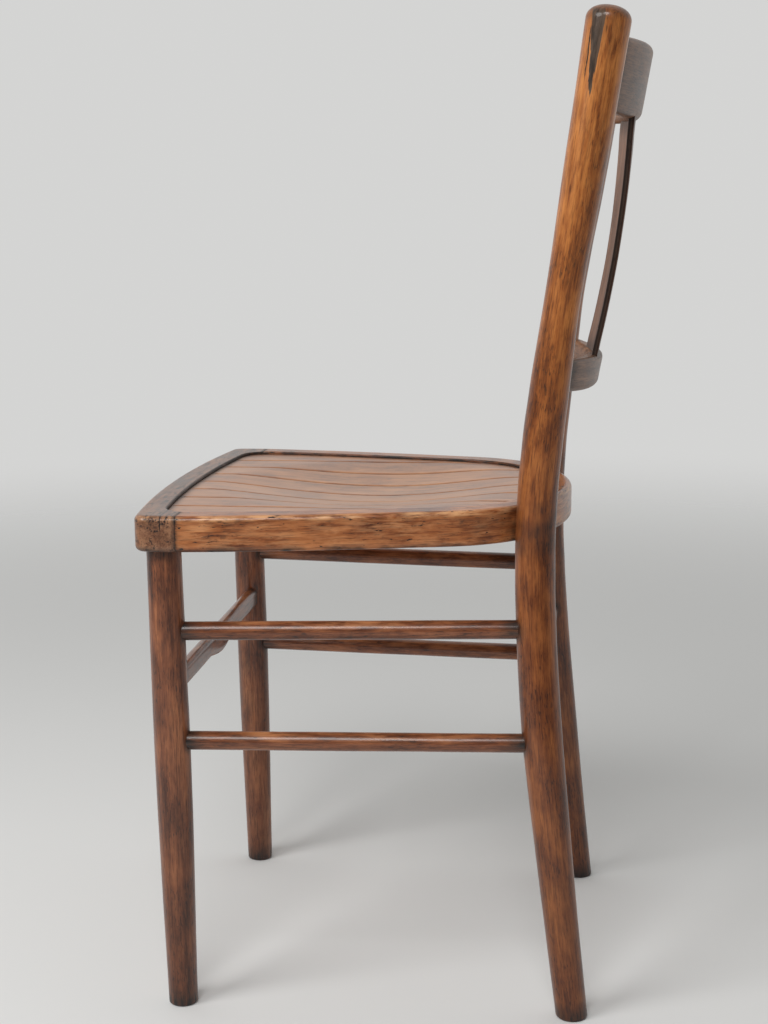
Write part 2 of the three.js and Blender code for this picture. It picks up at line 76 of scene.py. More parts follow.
# %% Camera
def look(place, turn, down, roll, lens):
    """A camera that looks along -X, turned, tipped and rolled by angles in degrees."""
    data = bpy.data.cameras.new("studio_camera")
    data.lens = lens
    data.sensor_width = 36  # millimetres, like the lens
    made = bpy.data.objects.new("studio_camera", data)
    bpy.context.scene.collection.objects.link(made)
    turn, down = math.radians(turn), math.radians(down)
    level = math.cos(down)
    ahead = Vector((-math.cos(turn) * level, -math.sin(turn) * level, -math.sin(down)))
    made.rotation_mode = "QUATERNION"
    made.rotation_quaternion = ahead.to_track_quat("-Z", "Y") @ Quaternion((0, 0, 1), math.radians(roll))
    made.location = place
    bpy.context.scene.camera = made
    return made


camera = look(Vector((1.6061, 0.1909, 0.7272)), turn=7.545, down=10.416, roll=-0.55, lens=59.85)
print("camera at", tuple(round(x, 3) for x in camera.location))

# %% [markdown]
# ## Lamps
# A lamp could be a bare point, but then every round stick would carry one hard white dot. Two
# large soft discs are used instead, as in a studio: one in front of the sitter, which shapes the
# rounds, and one high above the camera, which fills the side of the chair that faces it.

# %% Lamps
def soft_lamp(name, place, aim, size, power):
    data = bpy.data.lights.new(name, "AREA")
    data.shape = "DISK"
    data.size = size
    data.energy = power
    lamp = bpy.data.objects.new(name, data)
    bpy.context.scene.collection.objects.link(lamp)
    lamp.location = place
    lamp.rotation_mode = "QUATERNION"
    lamp.rotation_quaternion = (Vector(aim) - Vector(place)).to_track_quat("-Z", "Y")
    return lamp


scene = bpy.context.scene
scene.view_settings.view_transform = "Standard"
middle = (cad_low + cad_high) / 2
soft_lamp("key_lamp", (1.7, -1.9, 2.1), middle, size=1.6, power=46)
soft_lamp("front_lamp", (2.1, -0.2, 2.5), middle, size=1.3, power=36)
print("lamps:", len(bpy.data.lights))

# %% [markdown]
# ## A few short words for shader nodes
# A material is a graph. These helpers add one node each and wire it at once, so that a finish
# can be read from top to bottom like a recipe. A value that is the same all over is set on
# the shader's own socket.

# %% Node helpers
def add(tree, kind, settings=None, **sockets):
    """Adds a node. A socket named here takes a number, a colour or another node's output."""
    made = tree.nodes.new("ShaderNode" + kind)
    for key, value in (settings or {}).items():
        setattr(made, key, value)
    for key, value in sockets.items():
        wire(tree, made.inputs[key.replace("_", " ")], value)
    return made


def wire(tree, socket, value):
    if isinstance(value, bpy.types.NodeSocket):
        tree.links.new(value, socket)
    elif isinstance(value, tuple) and len(value) == 3 and socket.type == "RGBA":
        socket.default_value = (*value, 1)
    else:
        socket.default_value = value


def maths(tree, operation, a, b=0.0, c=0.0, clamp=False):
    made = add(tree, "Math", {"operation": operation, "use_clamp": clamp})
    for socket, value in zip(made.inputs, (a, b, c)):
        wire(tree, socket, value)
    return made.outputs[0]


def scaled(tree, vector, by):
    made = add(tree, "VectorMath", {"operation": "MULTIPLY"})
    wire(tree, made.inputs[0], vector)
    wire(tree, made.inputs[1], by)
    return made.outputs[0]


print("node helpers ready")

# %% [markdown]
# ## Noise, masks and colours
# Every finish below is noise, cut into masks, that picks or mixes colours. A noise gives a value
# from 0 to 1 at each place. A mask turns a stretch of such values into a soft edge. A ramp turns
# a value into a colour. What only this object knows, such as where it is worn, is painted on the
# points of its mesh and read here by name.

# %% Masks and colours
def mix(tree, share, a, b, how="MIX"):
    """Mixes two colours, by a share that may vary over the surface."""
    made = add(tree, "Mix", {"data_type": "RGBA", "blend_type": how, "clamp_factor": True})
    share_socket, first_colour, second_colour = made.inputs[0], made.inputs[6], made.inputs[7]
    for socket, value in ((share_socket, share), (first_colour, a), (second_colour, b)):
        wire(tree, socket, value)
    return made.outputs[2]


def speckle(tree, vector, scale, detail=3.0, roughness=0.55, twist=0.0):
    """A noise value from 0 to 1."""
    made = add(tree, "TexNoise", Scale=scale, Detail=detail, Roughness=roughness, Distortion=twist)
    wire(tree, made.inputs["Vector"], vector)
    return made.outputs["Fac"]


def between(tree, value, low, high):
    """0 below low, 1 above high and smooth in between. With low above high it falls instead."""
    made = add(tree, "MapRange", {"interpolation_type": "SMOOTHSTEP"})
    for socket, number in zip(made.inputs, (value, low, high, 0.0, 1.0)):
        wire(tree, socket, number)
    return made.outputs[0]


def shades(tree, value, *stops):
    """A colour for each value, through (place, colour) stops."""
    made = add(tree, "ValToRGB")
    wire(tree, made.inputs[0], value)
    band = made.color_ramp
    band.elements[0].position, band.elements[0].color = stops[0][0], (*stops[0][1], 1)
    band.elements[1].position, band.elements[1].color = stops[-1][0], (*stops[-1][1], 1)
    for place, colour in stops[1:-1]:
        band.elements.new(place).color = (*colour, 1)
    return made.outputs[0]


def painted(tree, name):
    """A value that the mesh carries on its points."""
    return add(tree, "Attribute", {"attribute_name": name}).outputs["Fac"]


print("masks and colours ready")

# %% [markdown]
# ## Surroundings
# Old varnish is glossy enough to mirror the room, so pale surroundings light the chair as much
# as any lamp does: they give the grey sheen along both edges of every round part. The room
# behind the camera is darker, so that varnish that faces it shows the wood and not a haze. The
# eye sees one even pale tone all round.

# %% Surroundings
def pale_room(tree, seen=(0.66, 0.66, 0.652), bright=0.67, dim=0.12):
    """Pale all round for the eye. As light it is bright on one side and dim on the other."""
    place = add(tree, "TexCoord").outputs["Generated"]
    level = add(tree, "SeparateXYZ", Vector=place)
    side = between(tree, level.outputs["X"], -0.45, 0.3)
    strength = maths(tree, "MULTIPLY_ADD", side, dim - bright, bright)
    cast = add(tree, "Background", Color=(1, 1, 0.985), Strength=strength).outputs[0]
    shown = add(tree, "Background", Color=seen, Strength=1.0).outputs[0]
    both = add(tree, "MixShader", Fac=add(tree, "LightPath").outputs["Is Camera Ray"])
    wire(tree, both.inputs[1], cast)
    wire(tree, both.inputs[2], shown)
    wire(tree, add(tree, "OutputWorld").inputs["Surface"], both.outputs[0])


scene.world = bpy.data.worlds.new("pale_room")
scene.world.use_nodes = True
scene.world.node_tree.nodes.clear()
pale_room(scene.world.node_tree)
print("surroundings:", scene.world.name)

# %% [markdown]
# ## Floor
# A square floor would draw a horizon behind the chair. This one is a pale disc whose edge fades
# into the surroundings, so only the soft shadow under the chair tells where the floor is.

# %% Floor
def new_material(name):
    """A material with an empty graph, and that graph."""
    material = bpy.data.materials.new(name)
    material.use_nodes = True
    material.node_tree.nodes.clear()
    return material, material.node_tree


def fading_floor(colour, solid_to, gone_from):
    material, tree = new_material("pale_floor")
    place = add(tree, "TexCoord").outputs["Object"]
    far = add(tree, "VectorMath", {"operation": "LENGTH"})
    wire(tree, far.inputs[0], place)
    seen = between(tree, far.outputs["Value"], gone_from, solid_to)
    matt = add(tree, "BsdfDiffuse", Color=colour).outputs[0]
    gone = add(tree, "BsdfTransparent").outputs[0]
    both = add(tree, "MixShader", Fac=seen)
    wire(tree, both.inputs[1], gone)
    wire(tree, both.inputs[2], matt)
    add(tree, "OutputMaterial", Surface=both.outputs[0])
    return material


def disc(name, radius, sides=96):
    angles = np.linspace(0, 2 * math.pi, sides, endpoint=False)
    points = [(radius * math.cos(a), radius * math.sin(a), 0) for a in angles]
    mesh = bpy.data.meshes.new(name)
    mesh.from_pydata(points, [], [list(range(sides))])
    made = bpy.data.objects.new(name, mesh)
    scene.collection.objects.link(made)
    return made


floor_radius = 4.0
below_feet = 0.2 * MM
floor = disc("floor", floor_radius)
floor.location.z = cad_low.z - below_feet
floor.data.materials.append(fading_floor((0.76, 0.76, 0.75), solid_to=1.0, gone_from=3.4))
floor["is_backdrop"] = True
print("floor radius:", floor_radius)

# %% [markdown]
# ## Measuring the CAD parts
# A smooth piece should lie exactly where its CAD part lies. So the CAD part is sliced like a
# loaf: each slice gives the middle and the size of the section there. A smooth spline through
# those slices gives the piece's course, with none of the CAD part's flat facets.

# %% Slices
nudge = 1e-7  # moves a slice off any CAD corner that lies exactly on it


def triangles(mesh):
    """The three corners of every triangle, as one array."""
    mesh.calc_loop_triangles()
    corners = np.array([v.co for v in mesh.vertices], float)
    return corners[np.array([t.vertices for t in mesh.loop_triangles])]


def slice_points(node, axis, at):
    """Where the triangles of a CAD part pass through a plane."""
    shapes = triangles(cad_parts[node].data)
    found = []
    for i, j in ((0, 1), (1, 2), (2, 0)):
        a, b = shapes[:, i], shapes[:, j]
        da, db = a[:, axis] - at - nudge, b[:, axis] - at - nudge
        hit = da * db < 0
        share = (da[hit] / (da[hit] - db[hit]))[:, None]
        found.append(a[hit] + share * (b[hit] - a[hit]))
    return np.concatenate(found)


def section(node, axis, at):
    """Lowest and highest corner of a CAD part's slice."""
    points = slice_points(node, axis, at)
    return points.min(0), points.max(0)


print("left post at mid height:", *(np.round(c, 4) for c in section("rear_post_left", 2, middle.z)))

# %% [markdown]
# ## A smooth course
# Slices are few, and a mesh needs many rings. Straight lines from slice to slice would show as
# kinks in the varnish's highlight, so a cubic spline runs through the slices instead. A slice
# that a socket or a tenon cuts is out of round and tells nothing about the stick, so it is left
# out and the spline bridges it.

# %% Course
round_within = 0.25 * MM


def smooth_through(xs, ys, at):
    """A natural cubic spline, as a bent batten lies through nails."""
    xs, ys, at = (np.asarray(v, float) for v in (xs, ys, at))
    n, h = len(xs), np.diff(xs)
    system, right = np.eye(n), np.zeros(n)
    for i in range(1, n - 1):
        system[i, i - 1 : i + 2] = h[i - 1], 2 * (h[i - 1] + h[i]), h[i]
        right[i] = 6 * ((ys[i + 1] - ys[i]) / h[i] - (ys[i] - ys[i - 1]) / h[i - 1])
    bend = np.linalg.solve(system, right)
    i = np.clip(np.searchsorted(xs, at) - 1, 0, n - 2)
    a, b = xs[i + 1] - at, at - xs[i]
    return (
        (bend[i] * a**3 + bend[i + 1] * b**3) / (6 * h[i])
        + (ys[i] / h[i] - bend[i] * h[i] / 6) * a
        + (ys[i + 1] / h[i] - bend[i + 1] * h[i] / 6) * b
    )


def round_course(node, axis, low, high, wanted):
    """Rows of station, two middle coordinates and radius, from the clean slices of a round part."""
    across = [i for i in range(3) if i != axis]
    rows = []
    for at in np.linspace(low, high, wanted):
        small, big = section(node, axis, at)
        half = (big - small)[across] / 2
        centre = (big + small)[across] / 2
        if abs(half[0] - half[1]) < round_within:
            rows.append([at, *centre, half.mean()])
    return np.array(rows)


foot_skip, top_skip = 4 * MM, 55 * MM  # the worn foot and the dome are no part of a course
post_course = round_course("rear_post_left", 2, foot_skip, cad_high.z - top_skip, 40)
print("left post:", len(post_course), "clean slices, radius", np.round(post_course[:, 3].max(), 4))

# %% [markdown]
# ## Making a mesh from rings
# Every stick, rail and board here is a loft: rings of points along a course, with faces between
# them. Each point also carries where it lies in the timber, as distances across and along the
# grain. A material that reads this follows every bend of the wood, as steamed wood does.

# %% Loft
sharp_angle = math.radians(40)


def loft(name, rings, grain):
    """A capped mesh from rings (rings, points, 3), with grain coordinates of the same shape."""
    count, around = rings.shape[:2]
    faces = []
    for i in range(count - 1):
        here, there = i * around, (i + 1) * around
        for j in range(around):
            k = (j + 1) % around
            faces.append((here + j, here + k, there + k, there + j))
    faces.append(tuple(range(around))[::-1])
    faces.append(tuple(range((count - 1) * around, count * around)))
    return piece_from(name, rings.reshape(-1, 3), faces, grain.reshape(-1, 3))


def piece_from(name, points, faces, wood):
    """A smooth-shaded object whose outside faces out, with its grain painted on its points."""
    mesh = bpy.data.meshes.new(name)
    mesh.from_pydata(np.asarray(points).tolist(), [], faces)
    mesh.validate()
    mesh.update()
    made = bpy.data.objects.new(name, mesh)
    scene.collection.objects.link(made)
    paint(made, "grain", wood)
    face_outwards(made)
    mesh.shade_smooth()
    mesh.set_sharp_from_angle(angle=sharp_angle)
    return made


def face_outwards(made):
    """Turns the faces round if the piece's volume comes out negative."""
    first, second, third = np.moveaxis(triangles(made.data), 1, 0)
    six_volumes = np.einsum("ij,ij->", first, np.cross(second, third))
    if six_volumes < 0:
        made.data.flip_normals()


def paint(made, name, values):
    """Stores a number or a vector on every point, for the material to read."""
    values = np.asarray(values, np.float32)
    kind = "FLOAT_VECTOR" if values.ndim == 2 else "FLOAT"
    field = made.data.attributes.new(name, kind, "POINT")
    field.data.foreach_set("vector" if values.ndim == 2 else "value", values.ravel())


print("loft ready")

# %% [markdown]
# ## Soft steps and soft noise
# Wear, dirt and painted shade have no hard edges. A soft step says how near a point is to a joint,
# an edge or the floor, and a soft noise breaks the result up. Both give the same answer on every run.

# %% Soft steps
def corners_of(made):
    found = np.empty(len(made.data.vertices) * 3)
    made.data.vertices.foreach_get("co", found)
    return found.reshape(-1, 3)


def step(value, low, high):
    """0 at low, 1 at high and smooth in between, for arrays."""
    t = np.clip((value - low) / (high - low), 0, 1)
    return t * t * (3 - 2 * t)


def waves(points, size, seed):
    """Soft noise from -1 to 1 at every point. Each seed looks at another part of the noise."""
    shift = Vector((seed * 3.1, seed * 1.7, seed * 2.3))
    return np.array([noise.noise(Vector(p) / size + shift) for p in points])


def zero_to_one(value):
    """Cuts a painted share off at 0 and at 1."""
    return np.clip(value, 0, 1)


print("a soft step half way:", step(0.5, 0, 1))

# %% [markdown]
# ## The wood
# Beech is a pale wood with short dark flecks, steamed, bent and then stained brown. A hundred
# years of varnish, wax and hands leave it darker where parts meet and orange where edges rub.
# It could be a picture of wood wrapped round each part, but a bend would stretch it. Here it is
# built up as the finisher built it: timber, stain in streaks, flecks, blotches, dirt at the
# joints, rub at the edges, and a coat of varnish over the whole. Painted shade darkens the
# recesses, the grooves, the joint gaps and the wood below the seat, and a painted highlight
# lightens the hoop's top edge and the upper posts.

# %% Timber
def timber(tree, deep, mid, pale, rub, near_black=(0.016, 0.011, 0.009), seed=0.0, streaks=1.0, flecks=1.0):
    """Colour and height of stained beech. The colours run from stain in the pores to rubbed wood."""
    grain = add(tree, "Attribute", {"attribute_name": "grain"}).outputs["Vector"]
    moved = add(tree, "VectorMath", {"operation": "ADD"})
    wire(tree, moved.inputs[0], grain)
    wire(tree, moved.inputs[1], (seed, 2 * seed, 3 * seed))
    wood = moved.outputs[0]
    # Noise is stretched along the grain: long streaks, shorter figure and round blotches.
    along = scaled(tree, wood, (1.0, 1.0, 0.055))
    short = scaled(tree, wood, (1.0, 1.0, 0.16))
    broad = speckle(tree, along, 110, detail=4, roughness=0.6, twist=0.25)
    figure = speckle(tree, short, 240, detail=4, roughness=0.65, twist=0.3)
    fibre = speckle(tree, along, 700, detail=4, roughness=0.7)
    blotch = speckle(tree, scaled(tree, wood, (1, 1, 0.45)), 34, detail=4, roughness=0.62)
    # Stain: three noises add up to one tone, and the fibres draw dark and light hairs into it.
    tone = maths(tree, "MULTIPLY_ADD", broad, 0.3, maths(tree, "MULTIPLY", blotch, 0.48))
    tone = maths(tree, "MULTIPLY_ADD", figure, 0.22, tone)
    colour = shades(tree, tone, (0.38, deep), (0.49, mid), (0.61, pale))
    hair = maths(tree, "MULTIPLY", between(tree, fibre, 0.49, 0.63), 0.62 * streaks)
    colour = mix(tree, hair, colour, deep)
    light_hair = maths(tree, "MULTIPLY", between(tree, fibre, 0.46, 0.32), 0.4 * streaks)
    colour = mix(tree, light_hair, colour, pale)
    # Flecks: the short dark rays of beech, in groups.
    fleck_noise = speckle(tree, scaled(tree, wood, (1, 1, 0.14)), 1050, detail=2, roughness=0.5)
    grouped = between(tree, blotch, 0.6, 0.4)
    fleck = maths(tree, "MULTIPLY", between(tree, fleck_noise, 0.56, 0.64), grouped)
    colour = mix(tree, maths(tree, "MULTIPLY", fleck, 0.7 * flecks), colour, near_black)
    # Wear and dirt, and painted shade and highlight, where the points of the mesh say so.
    worn = painted(tree, "worn")
    patchy = between(tree, figure, 0.36, 0.62)
    colour = mix(tree, maths(tree, "MULTIPLY", worn, patchy), colour, rub)
    # The dark share on the points is dirt and also painted shade; it darkens the colour and dulls the
    # gloss.
    dark = painted(tree, "dark")
    dirt_and_shade = maths(tree, "MULTIPLY", dark, between(tree, figure, 0.25, 0.66))
    dirt_and_shade = maths(tree, "MULTIPLY_ADD", dark, 0.35, dirt_and_shade, clamp=True)
    colour = mix(tree, dirt_and_shade, colour, near_black)
    raised, sunk = maths(tree, "MULTIPLY", fibre, 0.5), maths(tree, "MULTIPLY", fleck, 0.55)
    height = maths(tree, "SUBTRACT", raised, sunk)
    return {"colour": colour, "height": height, "dirt_and_shade": dirt_and_shade, "fleck": fleck, "grain": grain,
            "broad": broad, "fibre": fibre, "blotch": blotch, "figure": figure}


print("timber ready")

# %% [markdown]
# ## The varnish
# A single glossy shader would look like plastic. The real finish is two layers: satin wood whose
# gloss changes from blotch to blotch, and over it a thin coat that mirrors the room. The coat is
# the shader's own coat layer, and each piece says how thick and how smooth it is.

# %% Varnish
def varnish(tree, look, gloss=0.4, coat=0.55, coat_gloss=0.13, relief=0.3, depth=0.0004):
    """The shader: satin wood of uneven gloss under a coat of varnish."""
    uneven = maths(tree, "MULTIPLY_ADD", look["blotch"], 0.24, gloss - 0.12)
    rough = maths(tree, "MULTIPLY_ADD", look["dirt_and_shade"], 0.22, uneven, clamp=True)
    bump = add(tree, "Bump", Strength=relief, Distance=depth, Height=look["height"])
    shader = add(tree, "BsdfPrincipled", Base_Color=look["colour"], Roughness=rough, Normal=bump.outputs[0])
    shader.inputs["Specular IOR Level"].default_value = 0.25
    shader.inputs["Coat Weight"].default_value = coat
    shader.inputs["Coat Roughness"].default_value = coat_gloss
    shader.inputs["IOR"].default_value = 1.5
    add(tree, "OutputMaterial", Surface=shader.outputs[0])


post_tones = dict(deep=(0.1, 0.026, 0.007), mid=(0.3, 0.088, 0.018), pale=(0.56, 0.2, 0.045),
                  rub=(0.66, 0.27, 0.075))
leg_tones = dict(deep=(0.06, 0.016, 0.006), mid=(0.19, 0.058, 0.022), pale=(0.35, 0.125, 0.048),
                 rub=(0.56, 0.24, 0.1))


def stick_finish(name, tones, seed, **more):
    material, tree = new_material(name)
    varnish(tree, timber(tree, seed=seed, **tones), **more)
    return material


print("varnish ready, tones:", len(post_tones), "for each stick")

# %% [markdown]
# ## Round sticks
# Posts, legs and stretchers are all round sticks that follow a course. On the real chair they
# were turned or shaved by hand, so they are never quite round: a soft noise of a few tenths
# of a millimetre keeps the highlight on the varnish from being ruler-straight.

# %% Round stick
def round_stick(name, course, axis, low, high, rings, sides, ends, seed, uneven=0.18 * MM):
    """Rings along a course. ends may hold functions that space the rings, round the ends and
    tilt the top."""
    stations = np.linspace(low, high, rings)
    if "stations" in ends:
        stations = ends["stations"](stations)
    middle_a = smooth_through(course[:, 0], course[:, 1], stations)
    middle_b = smooth_through(course[:, 0], course[:, 2], stations)
    radius = smooth_through(course[:, 0], course[:, 3], stations)
    if "radius" in ends:
        radius = radius * ends["radius"](stations)
    angle = np.linspace(0, 2 * math.pi, sides, endpoint=False)
    across = [i for i in range(3) if i != axis]
    wood = np.zeros((rings, sides, 3))
    wood[..., 0] = radius[:, None] * np.cos(angle)
    wood[..., 1] = radius[:, None] * np.sin(angle)
    wood[..., 2] = stations[:, None]
    flats = waves((wood * (1, 1, 0.16)).reshape(-1, 3), 11 * MM, seed).reshape(rings, sides)
    swell = 1 + flats * uneven / np.maximum(radius[:, None], 6 * MM)
    closing = radius < 0.6 * radius.max()
    swell[closing] = 1
    points = np.zeros_like(wood)
    points[..., across[0]] = middle_a[:, None] + wood[..., 0] * swell
    points[..., across[1]] = middle_b[:, None] + wood[..., 1] * swell
    points[..., axis] = stations[:, None]
    if "tilt" in ends:
        points = ends["tilt"](points, stations)
    wood[..., 0] += seed
    return loft(name, points, wood)


print("round stick ready")

# %% [markdown]
# ## Rear posts
# Each rear leg and back post is one stick, steamed and bent. Its top is a low dome, square to
# the leaning post, and its foot is sawn level. The dome could be a half ball, but a worn one
# is flatter on top and tight at the shoulder, so its outline is a superellipse.

# %% Post ends
dome_height, dome_power = 12.5 * MM, 2.2  # a power of 2 is an ellipse, and more is squarer
dome_rings, foot_rings = 25, 5
foot_wear, foot_taper = 1.6 * MM, 0.1
smallest_ring = 0.002  # of the radius, so that the top ring is not a single point
tilt_over = 70 * MM


def worn_foot(z):
    """The share of the radius that is left close to the floor."""
    down = zero_to_one(1 - z / foot_wear)
    return 1 - foot_taper * down**2


def foot_stations():
    return np.linspace(0, foot_wear, foot_rings) ** 2 / foot_wear


def post_ends(course, top):
    dome_from = top - dome_height
    below, above = course[-2], course[-1]
    lean = (above[2] - below[2]) / (above[0] - below[0])

    def stations(even):
        arc = np.sin(np.linspace(0, math.pi / 2, dome_rings + 1)[1:])
        stem = np.linspace(2 * foot_wear, dome_from, len(even) - dome_rings - foot_rings)
        return np.concatenate([foot_stations(), stem, dome_from + dome_height * arc])

    def radius(z):
        up = zero_to_one((z - dome_from) / dome_height)
        return (1 - up**dome_power) ** (1 / dome_power) * worn_foot(z) + smallest_ring

    def tilt(points, z):
        share = step(z, dome_from - tilt_over, dome_from)[:, None]
        centre = points[..., 1].mean(1)[:, None]
        points[..., 2] -= share * lean * (points[..., 1] - centre)
        return points

    return {"stations": stations, "radius": radius, "tilt": tilt}


print("dome from", round(cad_high.z - dome_height, 4), "up")

# %% [markdown]
# ## Dirt round the joints
# Polish and dust gather where a rung enters a leg, and where a rail meets a post. The dirt could
# be painted by hand, but the CAD model already knows where those places are: each rung's slice
# just outside the leg gives the middle of its socket.

# %% Joint dirt
rung_radius, socket_depth, leg_skin = 8.5 * MM, 12 * MM, 8 * MM
stretcher_nodes = ["rear_stretcher", "side_stretcher_upper_left", "side_stretcher_lower_left"]


def centre_of(node):
    low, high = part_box(node)
    return (low + high) / 2


def near_any(heights, z, reach):
    """1 at any of these heights and 0 further away than reach."""
    return np.max([1 - step(np.abs(z - h), 0, reach) for h in heights], axis=0)


def near_rungs(at, reach=7 * MM, strength=0.7):
    """How close points of a leg are to a rung that enters it. Both sides of the chair are alike,
    so the rungs of the left side serve for both."""
    closest = np.full(len(at), 1.0)
    for node in stretcher_nodes:
        axis = 0 if node == "rear_stretcher" else 1
        others = [i for i in range(3) if i != axis]
        low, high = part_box(node)
        beside = at[:, others]
        if axis == 1:
            beside[:, 0] = np.abs(beside[:, 0])
        for end, inside in ((low[axis] + socket_depth, 6 * MM), (high[axis] - socket_depth, -6 * MM)):
            small, big = section(node, axis, end + inside)
            aside = np.linalg.norm(beside - ((small + big) / 2)[others], axis=1)
            off_rung = (aside - rung_radius).clip(0)
            off_skin = (np.abs(at[:, axis] - end) - leg_skin).clip(0)
            closest = np.minimum(closest, np.hypot(off_rung, off_skin))
    return (1 - step(closest, 0, reach)) * strength


print("rungs that leave dirt:", len(stretcher_nodes))

# %% [markdown]
# ## Both posts
# A post darkens at its joints, round the seat, at the foot and on the dome, and painted shade
# darkens it towards the floor below the seat. Its upper half is painted lighter, as rub from
# hands and as light from above. Each of these is one short line below, from the places of the
# CAD parts, and the darkest of them wins at every point.

# %% Rear posts
top_clearance = 0.5 * MM
left_seed, right_seed = 0.31, 0.77


def make_post(name, sign, seed):
    course = round_course(name, 2, foot_skip, cad_high.z - top_skip, 40)
    top = cad_high.z - top_clearance
    post = round_stick(name + "_wood", course, 2, 0, top, 330, 64, post_ends(course, top), seed)
    at = corners_of(post)
    z = at[:, 2]
    seat_low, seat_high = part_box("seat_hoop")[0].z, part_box("seat_hoop")[1].z
    joint = near_rungs(at)
    under = step(z, seat_high + 9 * MM, seat_high) * step(z, seat_low - 14 * MM, seat_low)
    under *= 0.5 * zero_to_one(0.6 + waves(at, 12 * MM, seed))
    foot = 0.8 * (1 - step(z, 0, 26 * MM))
    from_middle = at[:, 0] - np.interp(z, course[:, 0], course[:, 1])
    rail_side = zero_to_one(-sign * from_middle / (16 * MM))
    rail_heights = [centre_of("lower_back_rail").z, centre_of("crest_rail").z]
    rails = 0.5 * near_any(rail_heights, z, 45 * MM) * rail_side**2
    cap = 0.45 * step(z, cad_high.z - 16 * MM, cad_high.z - 7 * MM)
    # Painted shade: darker towards the floor, under the seat.
    shade_towards_floor = 0.16 * (1 - step(z, 0.08, 0.3))
    dark = np.maximum.reduce([joint, under, foot, rails, cap, shade_towards_floor])
    paint(post, "dark", zero_to_one(dark))
    # Painted highlight and wear: the upper half is paler, as rub from hands and as light from above.
    rubbed_and_lit = step(z, 0.52, 0.8)
    paint(post, "worn", zero_to_one(0.45 * rubbed_and_lit * (0.5 + 0.5 * waves(at, 45 * MM, seed))))
    paint(post, "height_up", z)
    return post


left_post = make_post("rear_post_left", 1, left_seed)
right_post = make_post("rear_post_right", -1, right_seed)
print("post points:", len(left_post.data.vertices))

# %% [markdown]
# ## The finish of the posts
# The posts are the warmest wood on the chair: redder and darker below the seat, which is painted
# shade there, and a clear orange brown near the top, where hands rub and where light from above is
# painted in. The left post also has an old wound at its top: a long dark wedge with a thin crack
# beside it. A painted picture could show it, but here it is a formula of the height and of the
# place across the post: the wedge is as wide as a power of the height, and noise makes its edges
# ragged.

# %% Scar
wedge_length, crack_width = 76 * MM, 0.75 * MM


def off_line(tree, across, up, lean, start, ragged):
    """Distance from an upright line that leans a little and wanders."""
    line = maths(tree, "ADD", maths(tree, "MULTIPLY_ADD", up, lean, start), ragged)
    return maths(tree, "ABSOLUTE", maths(tree, "SUBTRACT", across, line))


def add_scar(tree, wood):
    """The dark wedge and its crack, on the outer front of the left post near the top."""
    top = cad_high.z
    place = add(tree, "SeparateXYZ", Vector=wood["grain"])
    across, height = place.outputs["Y"], place.outputs["Z"]
    outside = between(tree, place.outputs["X"], left_seed + 2 * MM, left_seed + 4 * MM)
    above = maths(tree, "SUBTRACT", height, top - wedge_length)
    up = maths(tree, "DIVIDE", above, wedge_length - 10 * MM, clamp=True)
    ragged = maths(tree, "MULTIPLY_ADD", wood["figure"], 5 * MM, -2.5 * MM)
    off = off_line(tree, across, up, -2.6 * MM, -5.8 * MM, ragged)
    half = maths(tree, "MULTIPLY", maths(tree, "POWER", up, 0.72), 5.6 * MM)
    wedge = between(tree, maths(tree, "SUBTRACT", half, off), 0.0, 0.5 * MM)
    off = off_line(tree, across, up, -2.0 * MM, -11.6 * MM, ragged)
    crack = between(tree, off, crack_width, 0.3 * MM)
    fades = ((3, 8), (64, 56), (18, 24))  # each mask goes from 0 to 1 between these mm below the top
    over, begin, end = (between(tree, height, top - a * MM, top - b * MM) for a, b in fades)
    wedge = maths(tree, "MULTIPLY", maths(tree, "MULTIPLY", wedge, outside), over)
    crack = maths(tree, "MULTIPLY", maths(tree, "MULTIPLY", crack, begin), end)
    crack = maths(tree, "MULTIPLY", crack, outside)
    bare = between(tree, wood["figure"], 0.35, 0.65)
    fibre_grey = mix(tree, bare, (0.03, 0.018, 0.011), (0.1, 0.062, 0.04))
    wood["colour"] = mix(tree, wedge, wood["colour"], fibre_grey)
    wood["colour"] = mix(tree, crack, wood["colour"], (0.008, 0.006, 0.005))
    sunk = maths(tree, "ADD", maths(tree, "MULTIPLY", wedge, 0.5), maths(tree, "MULTIPLY", crack, 3.0))
    wood["height"] = maths(tree, "SUBTRACT", wood["height"], sunk)
    wood["dirt_and_shade"] = maths(tree, "MULTIPLY_ADD", wedge, 1.6, wood["dirt_and_shade"])


print("scar starts", wedge_length, "below the top")

# %% [markdown]
# ## Varnish on the posts
# Both posts get the same varnish. The painted height turns it darker and redder towards the
# floor, as painted shade under the seat, and only the left post gets the wound.

# %% Post finish
def post_finish(name, seed, scar=False):
    material, tree = new_material(name)
    wood = timber(tree, seed=seed, **post_tones)
    # Painted shade: the colour is darkened towards the floor.
    below = between(tree, painted(tree, "height_up"), 0.72, 0.34)
    shaded_low = mix(tree, 1.0, wood["colour"], (0.6, 0.55, 0.6), "MULTIPLY")
    wood["colour"] = mix(tree, below, wood["colour"], shaded_low)
    if scar:
        add_scar(tree, wood)
    varnish(tree, wood, coat_gloss=0.2)
    return material


left_post.data.materials.append(post_finish("post_left_varnish", 0.0, scar=True))
right_post.data.materials.append(post_finish("post_right_varnish", 1.3))
for post, node in ((left_post, "rear_post_left"), (right_post, "rear_post_right")):
    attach(post, "root")
    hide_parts(node)
print("posts finished")

# %% [markdown]
# ## Front legs
# The front legs are turned on a lathe and go into the front rail from below. They could be made
# by the posts' own recipe, but they have no dome and do not lean, so they share only the worn
# foot. They are darker and redder than the posts.

# %% Front legs
def leg_ends(top):
    def stations(even):
        stem = np.linspace(2 * foot_wear, top, len(even) - foot_rings)
        return np.concatenate([foot_stations(), stem])

    return {"stations": stations, "radius": worn_foot}


